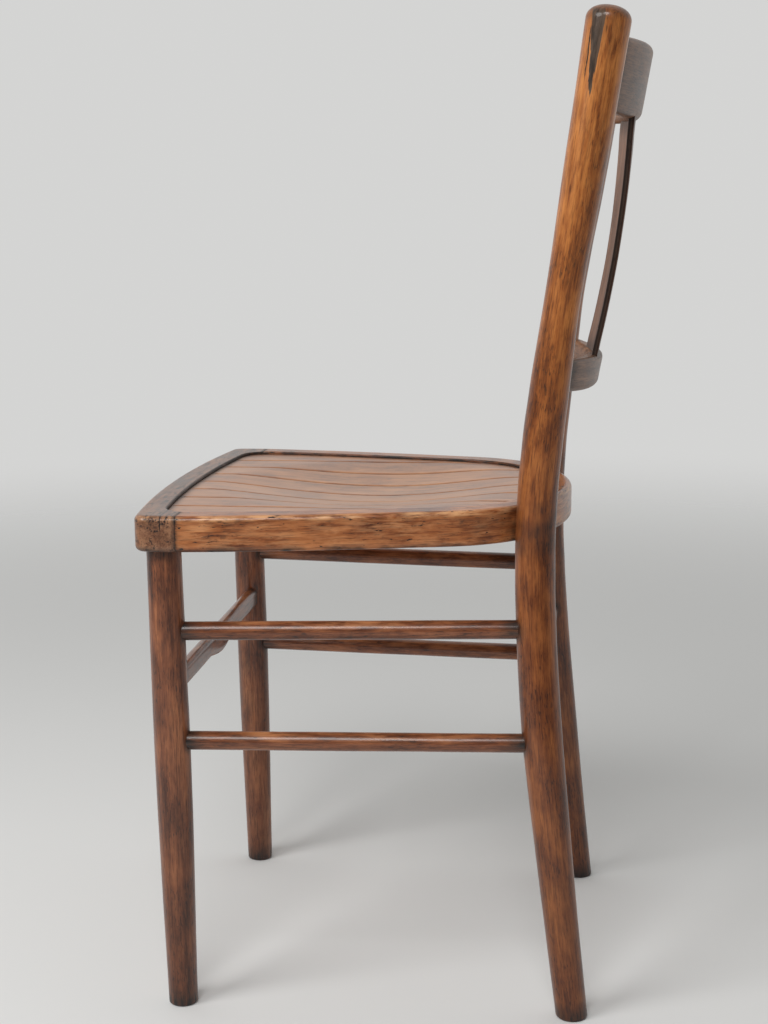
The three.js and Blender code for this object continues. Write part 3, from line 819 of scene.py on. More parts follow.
def make_leg(name, seed):
    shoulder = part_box("seat_front_rail")[0].z
    top = shoulder + 3 * MM
    course = round_course(name, 2, foot_skip, shoulder - 2 * MM, 30)
    leg = round_stick(name + "_wood", course, 2, 0, top, 190, 56, leg_ends(top), seed)
    at = corners_of(leg)
    z = at[:, 2]
    joint = near_rungs(at)
    under = step(z, shoulder - 12 * MM, shoulder) * 0.55
    foot = (1 - step(z, 0, 30 * MM)) * 0.85
    # Painted shade: darker towards the floor, under the seat.
    shade_towards_floor = 0.22 * (1 - step(z, 0.1, 0.34))
    paint(leg, "dark", np.maximum.reduce([joint, under, foot, shade_towards_floor]))
    paint(leg, "worn", 0.3 * step(waves(at * (1, 1, 0.3), 30 * MM, seed), 0.1, 0.5))
    return leg


for side, seed in (("left", 1.31), ("right", 1.77)):
    leg = make_leg("front_leg_" + side, seed)
    leg.data.materials.append(stick_finish(f"leg_{side}_varnish", leg_tones, seed, gloss=0.38))
    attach(leg, "root")
    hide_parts("front_leg_" + side)
print("front legs finished")

# %% [markdown]
# ## Round stretchers
# Five round rungs tie the legs together. A plain cylinder would do for each, but a course through
# its slices keeps the swell that the turner gave it. The ends go into sockets, where a century
# of polish and dust has left a dark ring, and shoes have rubbed the tops pale in patches.

# %% Round stretchers
def make_stretcher(node, axis, seed):
    low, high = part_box(node)
    hidden = 11 * MM  # of each end lies in its socket, so it is left out
    start, end = low[axis] + hidden, high[axis] - hidden
    course = round_course(node, axis, start + 4 * MM, end - 4 * MM, 7)
    rung = round_stick(node + "_wood", course, axis, start, end, 150, 40, {}, seed, uneven=0.16 * MM)
    at = corners_of(rung)
    along = np.minimum(at[:, axis] - start, end - at[:, axis])
    paint(rung, "dark", (1 - step(along, 2 * MM, 24 * MM)) * 0.75)
    up = zero_to_one((at[:, 2] - centre_of(node).z) / (8 * MM))
    patches = zero_to_one(0.6 + 0.8 * waves(at, 28 * MM, seed))
    paint(rung, "worn", 0.8 * up * step(along, 30 * MM, 70 * MM) * patches)
    finish = stick_finish(node + "_varnish", leg_tones, seed, gloss=0.4, coat=0.6, coat_gloss=0.19)
    rung.data.materials.append(finish)
    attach(rung, "root")
    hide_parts(node)
    return rung


for k, level in enumerate(("upper", "lower")):
    for m, side in enumerate(("left", "right")):
        make_stretcher(f"side_stretcher_{level}_{side}", 1, 2.1 + 0.37 * k + 0.19 * m)
make_stretcher("rear_stretcher", 0, 2.93)
print("round stretchers finished")

# %% [markdown]
# ## Board sections
# Rails and boards are not round. Their section is a rectangle with its edges rounded over by
# a spokeshave. A bevel modifier could round a box, but a loft needs the outline itself at every
# station. The straight sides carry points too, so that stain and dirt can vary on them.

# %% Board section
def rounded_box(half_a, half_b, radius, corner=7, side_a=6, side_b=6):
    """The outline of a rounded rectangle as its a values and its b values, counter-clockwise.
    corner points turn each corner, and side_a and side_b points lie between two corners."""
    rows = []
    for k, (sign_a, sign_b) in enumerate(((1, 1), (-1, 1), (-1, -1), (1, -1))):
        turn = np.linspace(k, k + 1, corner) * math.pi / 2
        rows += list(np.stack([sign_a * (half_a - radius) + radius * np.cos(turn),
                               sign_b * (half_b - radius) + radius * np.sin(turn)], 1))
        flat, count = (half_a - radius, side_a) if k % 2 == 0 else (half_b - radius, side_b)
        for share in np.linspace(1, -1, count + 2)[1:-1]:
            moved = share * flat
            rows.append([(moved, half_b), (-half_a, moved), (-moved, -half_b), (half_a, -moved)][k])
    return np.array(rows).T


print("points in a board section:", len(rounded_box(0.01, 0.03, 0.004)[0]))

# %% [markdown]
# ## Crest rail and lower back rail
# Both rails are bent boards whose middle stands well behind the posts. Each slice of the CAD
# rail gives its middle, its top and its bottom there, and all three are even functions of the
# distance from the middle of the chair, so three short polynomials hold the whole bend.

# %% Back rails
def even_fit(xs, values):
    return lambda x: np.polyval(np.polyfit(xs**2, values, 2), x**2)


def rail_shape(node, half_span=0.1, slices=12):
    xs = np.linspace(-half_span, half_span, slices)
    cuts = [section(node, 0, x) for x in xs]
    middle_y = even_fit(xs, np.array([(low[1] + high[1]) / 2 for low, high in cuts]))
    low_z = even_fit(xs, np.array([low[2] for low, high in cuts]))
    high_z = even_fit(xs, np.array([high[2] for low, high in cuts]))
    return middle_y, low_z, high_z


def roughen(rings, axis, size, amount, seed, squeeze=(1, 1, 1)):
    """Moves the points of all rings along one axis by soft noise, as hand planing leaves them."""
    moved = waves(rings.reshape(-1, 3) * squeeze, size, seed) * amount
    rings[..., axis] += moved.reshape(rings.shape[:2])


def make_rail(node, thickness, arris, lean, seed, stations=170):
    middle_y, low_z, high_z = rail_shape(node)
    post_x = np.interp(centre_of(node).z, post_course[:, 0], post_course[:, 1])
    reach = post_x - 8 * MM  # the rail's end is hidden in the post
    xs = np.linspace(-1, 1, stations) * reach
    rings, wood = [], []
    for x in xs:
        low, high = low_z(x), high_z(x)
        across, up = rounded_box(thickness / 2, (high - low) / 2, arris, corner=8, side_a=4, side_b=18)
        rings.append(np.stack([0 * up + x, middle_y(x) + across + lean * up, (low + high) / 2 + up], 1))
        wood.append(np.stack([across + seed, up, 0 * up + x], 1))
    rings = np.array(rings)
    roughen(rings, 1, 16 * MM, 0.14 * MM, seed, squeeze=(0.4, 1, 1))
    rail = loft(node + "_wood", rings, np.array(wood))
    rail_wear(rail, node, post_x, low_z, high_z, seed)
    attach(rail, "root")
    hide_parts(node)
    return rail


def rail_wear(rail, node, post_x, low_z, high_z, seed):
    """Dirt at the posts and at the splat, and a top edge that hands have rubbed."""
    at = corners_of(rail)
    x, z = at[:, 0], at[:, 2]
    at_post = 0.7 * (1 - step(np.abs(np.abs(x) - post_x), 14 * MM, 34 * MM))
    faces_splat = (low_z(x) + 5 * MM > z) if node == "crest_rail" else (high_z(x) - 4 * MM < z)
    at_splat = 0.6 * (np.abs(x) < 58 * MM) * faces_splat * zero_to_one(waves(at, 9 * MM, seed) + 0.5)
    paint(rail, "dark", np.maximum(at_post, at_splat))
    edge = step(z, high_z(x) - 9 * MM, high_z(x) - 2 * MM)
    paint(rail, "worn", 0.5 * edge * zero_to_one(0.5 + waves(at, 25 * MM, seed)))


rail_tones = dict(deep=(0.07, 0.029, 0.015), mid=(0.16, 0.076, 0.04), pale=(0.28, 0.14, 0.075),
                  rub=(0.4, 0.2, 0.1))
crest = make_rail("crest_rail", 16.5 * MM, 7.5 * MM, lean=0.178, seed=3.3)
lower_rail = make_rail("lower_back_rail", 17 * MM, 6 * MM, lean=0.186, seed=3.9)
for rail in (crest, lower_rail):
    finish = stick_finish(rail.name + "_varnish", rail_tones, 5.1, gloss=0.46, coat=0.32, coat_gloss=0.27)
    rail.data.materials.append(finish)
print("rails:", [len(r.data.vertices) for r in (crest, lower_rail)])

# %% [markdown]
# ## Splat
# The splat is thin plywood, bent across like the rails and a little along its height, and let
# into a slot in each rail. Bend modifiers could shape a flat board, but the slices of the CAD
# part already hold both bends and a slight twist. Plywood shows its layers on the edge: the
# middle layer runs crosswise and takes the stain dark and dull, and the outer layers stay brown.

# %% Splat
def splat_course(node="back_splat", slices=15):
    """Rows of height, middle y, half width, bow and twist from slices of the CAD splat."""
    low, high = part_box(node)
    rows = []
    for z in np.linspace(low.z + 1 * MM, high.z - 1 * MM, slices):
        points = slice_points(node, 2, z)
        half = np.abs(points[:, 0]).max()
        near, centre, far = (middle_at(points, x) for x in (half, 0, -half))
        bow, twist = ((near + far) / 2 - centre) / half**2, (near - far) / (2 * half)
        rows.append((z, centre, half, bow, twist))
    return np.array(rows)


def middle_at(points, x):
    """The middle of the board's thickness at a place across it."""
    beside = points[np.abs(points[:, 0] - x) < 0.1 * MM, 1]
    return (beside.min() + beside.max()) / 2


def make_splat(thickness=5.3 * MM, rows=150, seed=4.4):
    course = splat_course()
    heights = np.linspace(course[0, 0], course[-1, 0], rows)
    shape = [smooth_through(course[:, 0], course[:, i], heights) for i in (1, 2, 3, 4)]
    rings, wood, ply, edge = [], [], [], []
    for z, centre, half, bow, twist in zip(heights, *shape):
        across, thick = rounded_box(half, thickness / 2, 0.9 * MM, corner=5, side_a=38, side_b=6)
        y = centre + bow * across**2 + twist * across + thick
        rings.append(np.stack([across, y, 0 * across + z], 1))
        wood.append(np.stack([thick + seed, across, 0 * across + z], 1))
        ply.append(thick / (thickness / 2))
        edge.append(step(np.abs(across), half - 1.1 * MM, half - 0.5 * MM))
    rings = np.array(rings)
    roughen(rings, 1, 30 * MM, 0.15 * MM, seed)
    splat = loft("back_splat_wood", rings, np.array(wood))
    paint(splat, "ply", np.ravel(ply))
    paint(splat, "edge", np.ravel(edge))
    at = corners_of(splat)
    from_end = np.minimum(at[:, 2] - heights[0], heights[-1] - at[:, 2])
    paint(splat, "dark", (1 - step(from_end, 9 * MM, 24 * MM)) * 0.6)
    paint(splat, "worn", 0.25 * zero_to_one(waves(at, 40 * MM, seed)))
    return splat


splat = make_splat()
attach(splat, "root")
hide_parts("back_splat")
print("splat points:", len(splat.data.vertices))

# %% [markdown]
# ## The finish of the splat
# The faces are one sheet of wood each. On the edge, a ramp across the thickness colours the
# layers one by one, and a streak of noise makes the lines between them wander a little.

# %% Splat finish
splat_tones = dict(deep=(0.07, 0.03, 0.018), mid=(0.17, 0.083, 0.05), pale=(0.3, 0.16, 0.1),
                   rub=(0.36, 0.2, 0.12))


def splat_finish():
    material, tree = new_material("splat_varnish")
    wood = timber(tree, seed=0.6, **splat_tones)
    through = maths(tree, "MULTIPLY_ADD", painted(tree, "ply"), 0.5, 0.5)
    through = maths(tree, "ADD", through, maths(tree, "MULTIPLY_ADD", wood["broad"], 0.16, -0.08))
    rear_layer = (0.0, (0.035, 0.018, 0.012)), (0.3, (0.014, 0.008, 0.006))
    core = (0.36, (0.035, 0.02, 0.014)), (0.64, (0.06, 0.034, 0.022))
    front_layer = (0.7, (0.012, 0.006, 0.004)), (1.0, (0.12, 0.045, 0.02))
    layers = shades(tree, through, *rear_layer, *core, *front_layer)
    layers = mix(tree, maths(tree, "MULTIPLY", wood["fleck"], 0.7), layers, (0.012, 0.008, 0.006))
    wood["colour"] = mix(tree, painted(tree, "edge"), wood["colour"], layers)
    varnish(tree, wood, gloss=0.44, coat=0.3, coat_gloss=0.28)
    return material


splat.data.materials.append(splat_finish())
print("splat finished")

# %% [markdown]
# ## Front stretcher
# The front stretcher is a shaped bar with a small pendant in the middle of its lower edge. Its
# outline could be a list of points, but the CAD part already has it: sixty slices give the top
# and the bottom line, and a running average takes the facets out of the lower one.

# %% Front stretcher
def softened(values, reach=4):
    """A running average, which takes the corners out of a line through slices."""
    weights = np.hanning(2 * reach + 1)
    return np.convolve(np.pad(values, reach, mode="edge"), weights / weights.sum(), "valid")


def make_front_stretcher(node="front_stretcher", seed=5.2, stations=220):
    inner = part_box("front_leg_left")[0].x + 2.5 * MM
    xs = np.linspace(-inner, inner, 60)
    cuts = [section(node, 0, x) for x in xs]
    fine = np.linspace(-inner, inner, stations)
    low, high = (np.interp(fine, xs, [c[i][2] for c in cuts]) for i in (0, 1))
    low = softened(low)
    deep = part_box(node)[1].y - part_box(node)[0].y
    rings, wood = [], []
    for x, bottom, top in zip(fine, low, high):
        across, up = rounded_box(deep / 2, (top - bottom) / 2, 5.2 * MM, corner=8, side_a=2, side_b=7)
        rings.append(np.stack([0 * up + x, centre_of(node).y + across, (top + bottom) / 2 + up], 1))
        wood.append(np.stack([across + seed, up, 0 * up + x], 1))
    rings = np.array(rings)
    roughen(rings, 2, 22 * MM, 0.12 * MM, seed)
    bar = loft(node + "_wood", rings, np.array(wood))
    at = corners_of(bar)
    paint(bar, "dark", (1 - step(inner - np.abs(at[:, 0]), 3 * MM, 26 * MM)) * 0.7)
    top_edge = step(at[:, 2], high.max() - 4 * MM, high.max())
    paint(bar, "worn", 0.6 * top_edge * zero_to_one(0.6 + waves(at, 30 * MM, seed)))
    bar.data.materials.append(stick_finish(node + "_varnish", leg_tones, seed, gloss=0.36))
    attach(bar, "root")
    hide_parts(node)
    return bar


front_bar = make_front_stretcher()
print("front stretcher points:", len(front_bar.data.vertices))

# %% [markdown]
# ## The outline of the seat
# The seat frame is two pieces: a straight front rail and one bent hoop that forms both sides
# and the rear. Its outer edge is a smooth line through a few measured shares of the width and
# the depth, and every inner edge is the same line moved inwards. The shares are scaled to the
# CAD model's box.

# %% Seat sizes
side_shares = [(1, 0.07), (1, 0.132), (0.937, 0.37), (0.829, 0.642), (0.746, 0.8), (0.585, 0.906),
               (0.335, 0.971), (0, 1)]
front_bow = 14 * MM
corner_radius, recess_radius, opening_radius = 12 * MM, 24 * MM, 18 * MM
frame_land, frame_ledge, frame_arris = 24 * MM, 33 * MM, 5 * MM
panel_room = 4.8 * MM  # between the floor of the recess and the top of the panel
front_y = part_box("seat_front_rail")[0].y
rear_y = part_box("seat_hoop")[1].y
frame_low, frame_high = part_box("seat_hoop")[0].z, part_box("seat_hoop")[1].z
print("seat depth:", round(rear_y - front_y, 4), "frame thickness:", round(frame_high - frame_low, 4))

# %% [markdown]
# ## The side of the seat
# A circle or an ellipse would not follow the steamed wood: it runs nearly straight along the
# sides and turns evenly round the rear. So a smooth curve runs through the measured shares, and
# it is scaled so that its widest place meets the box of the CAD model.

# %% Side line
def bent_line(points, count):
    """A smooth line through unevenly spaced points (a centripetal Catmull-Rom curve)."""
    p = np.array(points, float)
    p = np.vstack([2 * p[0] - p[1], p, 2 * p[-1] - p[-2]])
    gap = np.linalg.norm(np.diff(p, axis=0), axis=1) ** 0.5
    t = np.linspace(0, len(points) - 1, count)
    i = np.minimum(t.astype(int), len(points) - 2)
    w = (t - i)[:, None]
    p0, p1, p2, p3 = (p[i + k] for k in range(4))
    d0, d1, d2 = (gap[i + k][:, None] for k in range(3))
    m1 = d1 * ((p1 - p0) / d0 - (p2 - p0) / (d0 + d1) + (p2 - p1) / d1)
    m2 = d1 * ((p2 - p1) / d1 - (p3 - p1) / (d1 + d2) + (p3 - p2) / d2)
    return p1 + m1 * w + (3 * (p2 - p1) - 2 * m1 - m2) * w**2 + (2 * (p1 - p2) + m1 + m2) * w**3


def side_line(half):
    depth = rear_y - front_y
    left = [(x * half, front_y + y * depth) for x, y in side_shares]
    return bent_line(left + [(-x, y) for x, y in left[-2::-1]], 3001)


box_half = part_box("seat_front_rail")[1].x
seat_half = box_half * box_half / side_line(box_half)[:, 0].max()
side_edge = side_line(seat_half)
heading = np.gradient(side_edge, axis=0)
heading /= np.linalg.norm(heading, axis=1)[:, None]
side_outward = np.stack([heading[:, 1], -heading[:, 0]], 1)
print("seat half width:", round(seat_half, 4), "points along the side:", len(side_edge))

# %% [markdown]
# ## Moving the outline inwards
# Land, recess and opening all follow the outer edge. Blender can inset a face, but its corners
# would all be sharp or all be alike. Here each inner line is drawn anew: the side moved inwards,
# the bowed front, and a corner curve with the radius that the line's own tool would leave.

# %% Outline
tiny = 1e-15  # keeps a share from being divided by zero
out_of_reach = 9.0


def front_edge_y(x):
    return front_y + front_bow * (x / seat_half) ** 2


def outline(inset, radius):
    """The closed outline moved inwards, from the right front corner round by the front and left."""
    side = side_edge - inset * side_outward
    side = side[side[:, 1] >= front_y + inset + front_bow + radius]
    first = side[0]
    x = np.linspace(-1, 1, 120) * (first[0] - radius)
    front = np.stack([x, front_edge_y(x) + inset], 1)
    tip = np.array([first[0], front_edge_y(first[0]) + inset])
    t = np.linspace(0, 1, 22)[1:-1, None]
    corner = (1 - t) ** 2 * front[-1] + 2 * t * (1 - t) * tip + t**2 * first
    return np.vstack([front, corner, side, (corner * (-1, 1))[::-1]])


def spaced(line, gap):
    """The same line with evenly spaced points."""
    run = np.concatenate([[0], np.cumsum(np.linalg.norm(np.diff(line, axis=0), axis=1))])
    even = np.linspace(0, run[-1], max(int(run[-1] / gap), 2))
    return np.stack([np.interp(even, run, line[:, k]) for k in (0, 1)], 1)


def meet(starts, towards, line):
    """Where lines from the outer edge, in their own directions, first meet an outline."""
    far = np.vstack([line, line[:1]])[None] - starts[:, None]
    beside = towards[:, None, 0] * far[..., 1] - towards[:, None, 1] * far[..., 0]
    ahead = (towards[:, None] * far).sum(2)
    hit = beside[:, :-1] * beside[:, 1:] <= 0
    share = beside[:, :-1] / (beside[:, :-1] - beside[:, 1:] + tiny)
    distance = ahead[:, :-1] + share * (ahead[:, 1:] - ahead[:, :-1])
    distance = np.where(hit & (distance > -0.5 * MM), distance, out_of_reach)
    return starts + distance.min(1)[:, None] * towards


outer_edge = outline(0, corner_radius)
print("points round the seat:", len(outer_edge))

# %% [markdown]
# ## The section of the seat frame
# The section of the frame is the same all round: rounded outer edges, a flat top, a recess for
# the panel and a ledge under it. At every place along the outer edge this section is set up on
# a line that points inwards. At the joints that line is square to the side, so both pieces
# end in a flat face; the fine dark gap between them is a painted shadow on both ends.

# %% Frame section
def frame_section(recess_floor):
    """Rows of (inset, height) round the section of the seat frame, from the lower outer edge."""
    a = np.linspace(0, math.pi / 2, 8)
    r, low, high = frame_arris, frame_low, frame_high
    soft = 1.2 * MM
    rows = [*zip(r * (1 - np.sin(a)), low + r * (1 - np.cos(a)))]
    rows += [(0, z) for z in np.linspace(low + r, high - r, 13)[1:-1]]
    rows += [*zip(r * (1 - np.cos(a)), high - r + r * np.sin(a))]
    rows += [(x, high) for x in np.linspace(r, frame_land - soft, 12)[1:-1]]
    rows += [*zip(frame_land - soft + soft * np.sin(a[::2]), high - soft + soft * np.cos(a[::2]))]
    rows += [(frame_land, z) for z in np.linspace(high - soft, recess_floor, 5)[1:]]
    rows += [(x, recess_floor) for x in np.linspace(frame_land, frame_ledge - soft, 4)[1:]]
    rows += [(frame_ledge, z) for z in np.linspace(recess_floor - soft, low + soft, 12)]
    rows += [(x, low) for x in np.linspace(frame_ledge - soft, r, 10)[:-1]]
    return np.array(rows)


print("section rows:", len(frame_section((frame_low + frame_high) / 2)))

# %% [markdown]
# ## Lofting the frame
# A plain sweep would cross itself in the tight corners. So for every height and inset of the
# section, a line from the outer edge is followed inwards until it meets the outline at that
# inset. The outer side is then worn back by up to a third of a millimetre.

# %% Frame piece
def outline_at(inset):
    """The outline at an inset, with the corner radius that the real edge has there."""
    if inset < frame_land - 3 * MM:
        return outline(inset, corner_radius - min(inset, frame_arris))
    return outline(inset, recess_radius if inset < frame_ledge - 3 * MM else opening_radius)


def frame_piece(name, edge, inwards, along, seed):
    """Lofts the section along the outer edge. Returns the piece, and each point's inset and place."""
    recess_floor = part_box("seat_panel")[1].z - panel_room
    rows = frame_section(recess_floor)
    found = {inset: meet(edge, inwards, outline_at(inset)) for inset in np.unique(rows[:, 0])}
    plan = np.stack([found[inset] for inset in rows[:, 0]], 1)
    rings = np.concatenate([plan, np.broadcast_to(rows[:, 1], plan.shape[:2])[..., None]], 2)
    inset = np.broadcast_to(rows[:, 0], plan.shape[:2])
    outer = step(inset, 7 * MM, 0)
    rough = waves(rings.reshape(-1, 3), 14 * MM, seed).reshape(inset.shape)
    rubbed_in = outer * (0.5 + 0.5 * rough) * 0.3 * MM
    rings[..., :2] += inwards[:, None] * rubbed_in[..., None]
    made = loft(name, rings, along(rings, inset))
    return made, inset.ravel(), corners_of(made)


print("frame piece ready")

# %% [markdown]
# ## Lines that point inwards
# The hoop's lines are square to its edge, as on any bent rail, but near the joint they turn until
# they are square to the chair, so that the cut end comes out flat. The front rail's corner is
# tight, and square lines would cross there, so its lines aim at a hub inside the opening.

# %% Hoop and rail lines
joint_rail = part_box("seat_front_rail")[1].y
joint_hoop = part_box("seat_hoop")[0].y


def hoop_lines():
    """The hoop's outer edge and, at each point, the direction inwards."""
    side = side_edge[side_edge[:, 1] >= joint_hoop]
    side = spaced(np.vstack([[side[0][0], joint_hoop], side, [side[-1][0], joint_hoop]]), 2.4 * MM)
    ahead = np.gradient(side, axis=0)
    ahead /= np.linalg.norm(ahead, axis=1)[:, None]
    inwards = np.stack([-ahead[:, 1], ahead[:, 0]], 1)
    square = np.stack([-np.sign(side[:, 0]), 0 * side[:, 0]], 1)
    share = step(side[:, 1], joint_hoop + 4 * MM, joint_hoop + 45 * MM)[:, None]
    inwards = share * inwards + (1 - share) * square
    return side, inwards / np.linalg.norm(inwards, axis=1)[:, None]


def rail_lines():
    """The front rail's outer edge, from right to left, and the direction to its hub."""
    front = outer_edge[outer_edge[:, 1] < joint_rail]
    front = front[np.argsort(np.arctan2(front[:, 0], joint_rail - front[:, 1]))]
    tip = [front[-1][0], joint_rail]
    edge = spaced(np.vstack([[-tip[0], tip[1]], front, tip]), 2.0 * MM)
    hub_x = seat_half - 58 * MM
    hub = np.stack([np.clip(edge[:, 0], -hub_x, hub_x), 0 * edge[:, 0] + joint_rail], 1)
    inwards = hub - edge
    return edge, inwards / np.linalg.norm(inwards, axis=1)[:, None]


print("joints at", round(joint_rail, 4), round(joint_hoop, 4))

# %% [markdown]
# ## Wear, dirt and painted shade of the seat frame
# The hoop's grain bends with it, because one stick was steamed round a form, and the front
# rail's grain runs straight from side to side. Legs and hands have rubbed the top outer edge,
# and a painted highlight lies along it too. Painted shade darkens the inner edge of the recess,
# and a painted shadow marks the gap in each joint. Dirt lies along the lower edge, and the wood
# round the rear posts is darker.

# %% Frame wear and painted shade
hoop_seed, rail_seed = 6.1, 7.3


def hoop_grain(rings, inset):
    """Grain that follows the bend: distances along it are measured on the outer side."""
    outer_side = 15  # a row of the section that lies there
    steps = np.linalg.norm(np.diff(rings[:, outer_side, :2], axis=0), axis=1)
    run = np.concatenate([[0], np.cumsum(steps)])
    return np.stack([inset + hoop_seed, rings[..., 2], np.broadcast_to(run[:, None], inset.shape)], 2)


def rail_grain(rings, inset):
    return np.stack([rings[..., 1] + rail_seed, rings[..., 2], rings[..., 0]], 2)


def frame_wear_and_shade(made, inset, at, joint, seed, side_dirt):
    """Where the frame is rubbed bare, where a highlight is painted on its top edge, where dirt
    gathers, where shade and the joint gaps' shadows are painted dark, and where it is pitted.
    """
    z = at[:, 2]
    broken = waves(at, 17 * MM, seed)
    fine = waves(at, 5 * MM, seed + 1)
    # The top outer edge is paler: rubbed wood, and a painted highlight along the arris.
    top_edge = step(inset, 4.6 * MM, 2.2 * MM) * step(z, frame_high - 6 * MM, frame_high - 3 * MM)
    top_edge *= zero_to_one(0.75 + broken + 0.4 * fine)
    land = 0.3 * step(inset, 3 * MM, 7 * MM) * step(z, frame_high - 2 * MM, frame_high)
    land *= zero_to_one(broken + 0.4)
    side = step(inset, 1.5 * MM, 0.5 * MM) * zero_to_one(0.35 * broken + 0.2)
    paint(made, "worn", np.maximum.reduce([top_edge, land, side]))
    # Painted shade: a dark line at the inner edge of the recess.
    recess_shade = 0.8 * step(inset, frame_land - 1.3 * MM, frame_land - 0.5 * MM)
    recess_shade *= step(z, frame_high - 9 * MM, frame_high - 3 * MM)
    lower = side_dirt * step(z, frame_low + 7 * MM, frame_low + 1.5 * MM) * step(inset, 9 * MM, 4 * MM)
    lower *= zero_to_one(0.45 + 1.3 * broken + 0.6 * fine)
    # Painted shadow: a fine dark line on both sides of the joint, for the gap between the pieces.
    gap = 0.8 * (1 - step(np.abs(at[:, 1] - joint), 0.6 * MM, 3.2 * MM))
    post_x, post_y = (np.interp(frame_low, post_course[:, 0], post_course[:, k]) for k in (1, 2))
    from_post = np.hypot(np.abs(at[:, 0]) - post_x, at[:, 1] - post_y)
    # Darker round each rear post.
    stain = 0.8 * (1 - step(from_post, 17 * MM, 40 * MM)) * zero_to_one(0.4 + 0.6 * fine + 0.3 * broken)
    paint(made, "dark", zero_to_one(np.maximum.reduce([recess_shade, lower, gap, stain])))
    paint(made, "pitted", 1 - step(at[:, 1], joint + 8 * MM, joint + 70 * MM))


print("frame wear ready")

# %% [markdown]
# ## Hoop and front rail
# Both pieces are now lofted from their lines. Each coach screw pulls its washer a little way
# into the inner wall of the hoop. A boolean cut would do it, but it would leave long thin faces,
# so the few points behind each washer are pressed outwards instead.

# %% Hoop and rail
sunk_depth, sunk_radius = 2.2 * MM, 11.5 * MM


def sink_washers(made):
    """Presses the round seats for the two washers into the inner wall of the hoop."""
    at = corners_of(made)
    for side, sign in (("left", 1), ("right", -1)):
        low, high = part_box("post_screw_" + side)
        out = np.array(Vector((sign * (high.x - low.x), high.y - low.y, 0)).normalized())
        from_washer = at - np.array(centre_of("post_washer_" + side))
        depth = from_washer @ out
        aside = np.linalg.norm(from_washer - depth[:, None] * out, axis=1)
        near = (np.abs(depth) < 6 * MM) & (aside < sunk_radius)
        pressed = sunk_depth * step(aside[near], sunk_radius, sunk_radius - 1.2 * MM)
        at[near] += pressed[:, None] * out
    made.data.vertices.foreach_set("co", at.ravel())
    made.data.update()


hoop, hoop_inset, hoop_at = frame_piece("seat_hoop_wood", *hoop_lines(), hoop_grain, hoop_seed)
frame_wear_and_shade(hoop, hoop_inset, hoop_at, joint_hoop, hoop_seed, side_dirt=0.8)
sink_washers(hoop)
front_rail, rail_inset, rail_at = frame_piece("seat_front_rail_wood", *rail_lines(), rail_grain, rail_seed)
frame_wear_and_shade(front_rail, rail_inset, rail_at, joint_rail, rail_seed, side_dirt=0.6)
print("hoop and rail points:", len(hoop_at), len(rail_at))

# %% [markdown]
# ## The finish of the seat frame
# The hoop's side is the clearest, most orange wood on the chair, with dark pits and specks where
# the varnish was knocked through. The front rail's end shows end grain, which drinks stain and
# turns darker and greyer, and it has a short crack beside the joint.

# %% Frame finish
def frame_finish(name, tones, seed, crack=False):
    material, tree = new_material(name)
    wood = timber(tree, seed=seed, **tones)
    streaky = scaled(tree, wood["grain"], (1.0, 1.0, 0.3))
    chips = between(tree, speckle(tree, streaky, 260, detail=3, roughness=0.7), 0.64, 0.68)
    spots = between(tree, speckle(tree, streaky, 150, detail=5, roughness=0.8), 0.57, 0.61)
    marks = maths(tree, "MAXIMUM", chips, maths(tree, "MULTIPLY", spots, painted(tree, "pitted")))
    if crack:
        marks = maths(tree, "MAXIMUM", marks, rail_crack(tree, wood))
    wood["colour"] = mix(tree, marks, wood["colour"], (0.012, 0.008, 0.007))
    wood["height"] = maths(tree, "SUBTRACT", wood["height"], maths(tree, "MULTIPLY", marks, 1.5))
    varnish(tree, wood, gloss=0.34, coat=0.4, coat_gloss=0.19)
    return material


def rail_crack(tree, wood):
    """A thin upright crack in the end of the front rail, from its top edge downwards."""
    where = add(tree, "SeparateXYZ", Vector=add(tree, "TexCoord").outputs["Object"])
    wander = maths(tree, "MULTIPLY_ADD", wood["blotch"], 3 * MM, joint_rail - 14.5 * MM)
    off = maths(tree, "ABSOLUTE", maths(tree, "SUBTRACT", where.outputs["Y"], wander))
    thin = between(tree, off, 0.7 * MM, 0.25 * MM)
    upper = between(tree, where.outputs["Z"], frame_high - 15 * MM, frame_high - 10 * MM)
    return maths(tree, "MULTIPLY", thin, upper)


hoop_tones = dict(deep=(0.085, 0.02, 0.006), mid=(0.31, 0.095, 0.028), pale=(0.54, 0.2, 0.065),
                  rub=(0.68, 0.36, 0.17))
end_tones = dict(deep=(0.06, 0.022, 0.011), mid=(0.15, 0.06, 0.03), pale=(0.27, 0.125, 0.066),
                 rub=(0.46, 0.24, 0.12))
hoop.data.materials.append(frame_finish("hoop_varnish", hoop_tones, 0.0))
front_rail.data.materials.append(frame_finish("front_rail_varnish", end_tones, 0.4, crack=True))
seat_frame = (hoop, "seat_hoop", "hoop_wood"), (front_rail, "seat_front_rail", "front_rail_wood")
for made, node, slot in seat_frame:
    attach(made, "root")
    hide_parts(node)
print("seat frame finished")

# %% [markdown]
# ## Seat panel
# The panel is thin plywood pressed in a hot mould: a shallow dish for the sitter, and seven fine
# grooves that run from front to rear. Cloth or sculpting could make the dish, but a mould is
# exact, so a formula gives the height at every point. The panel is laid out in columns from
# front to rear, and the columns are close together at every groove, so that each groove is true
# geometry.

# %% Panel plan
groove_pitch, groove_count = 45 * MM, 7
dish_depth, dish_centre = 12 * MM, front_y + 198 * MM
front_margin, rear_margin, side_margin = 7 * MM, 17 * MM, 28 * MM  # flat rim round the dish


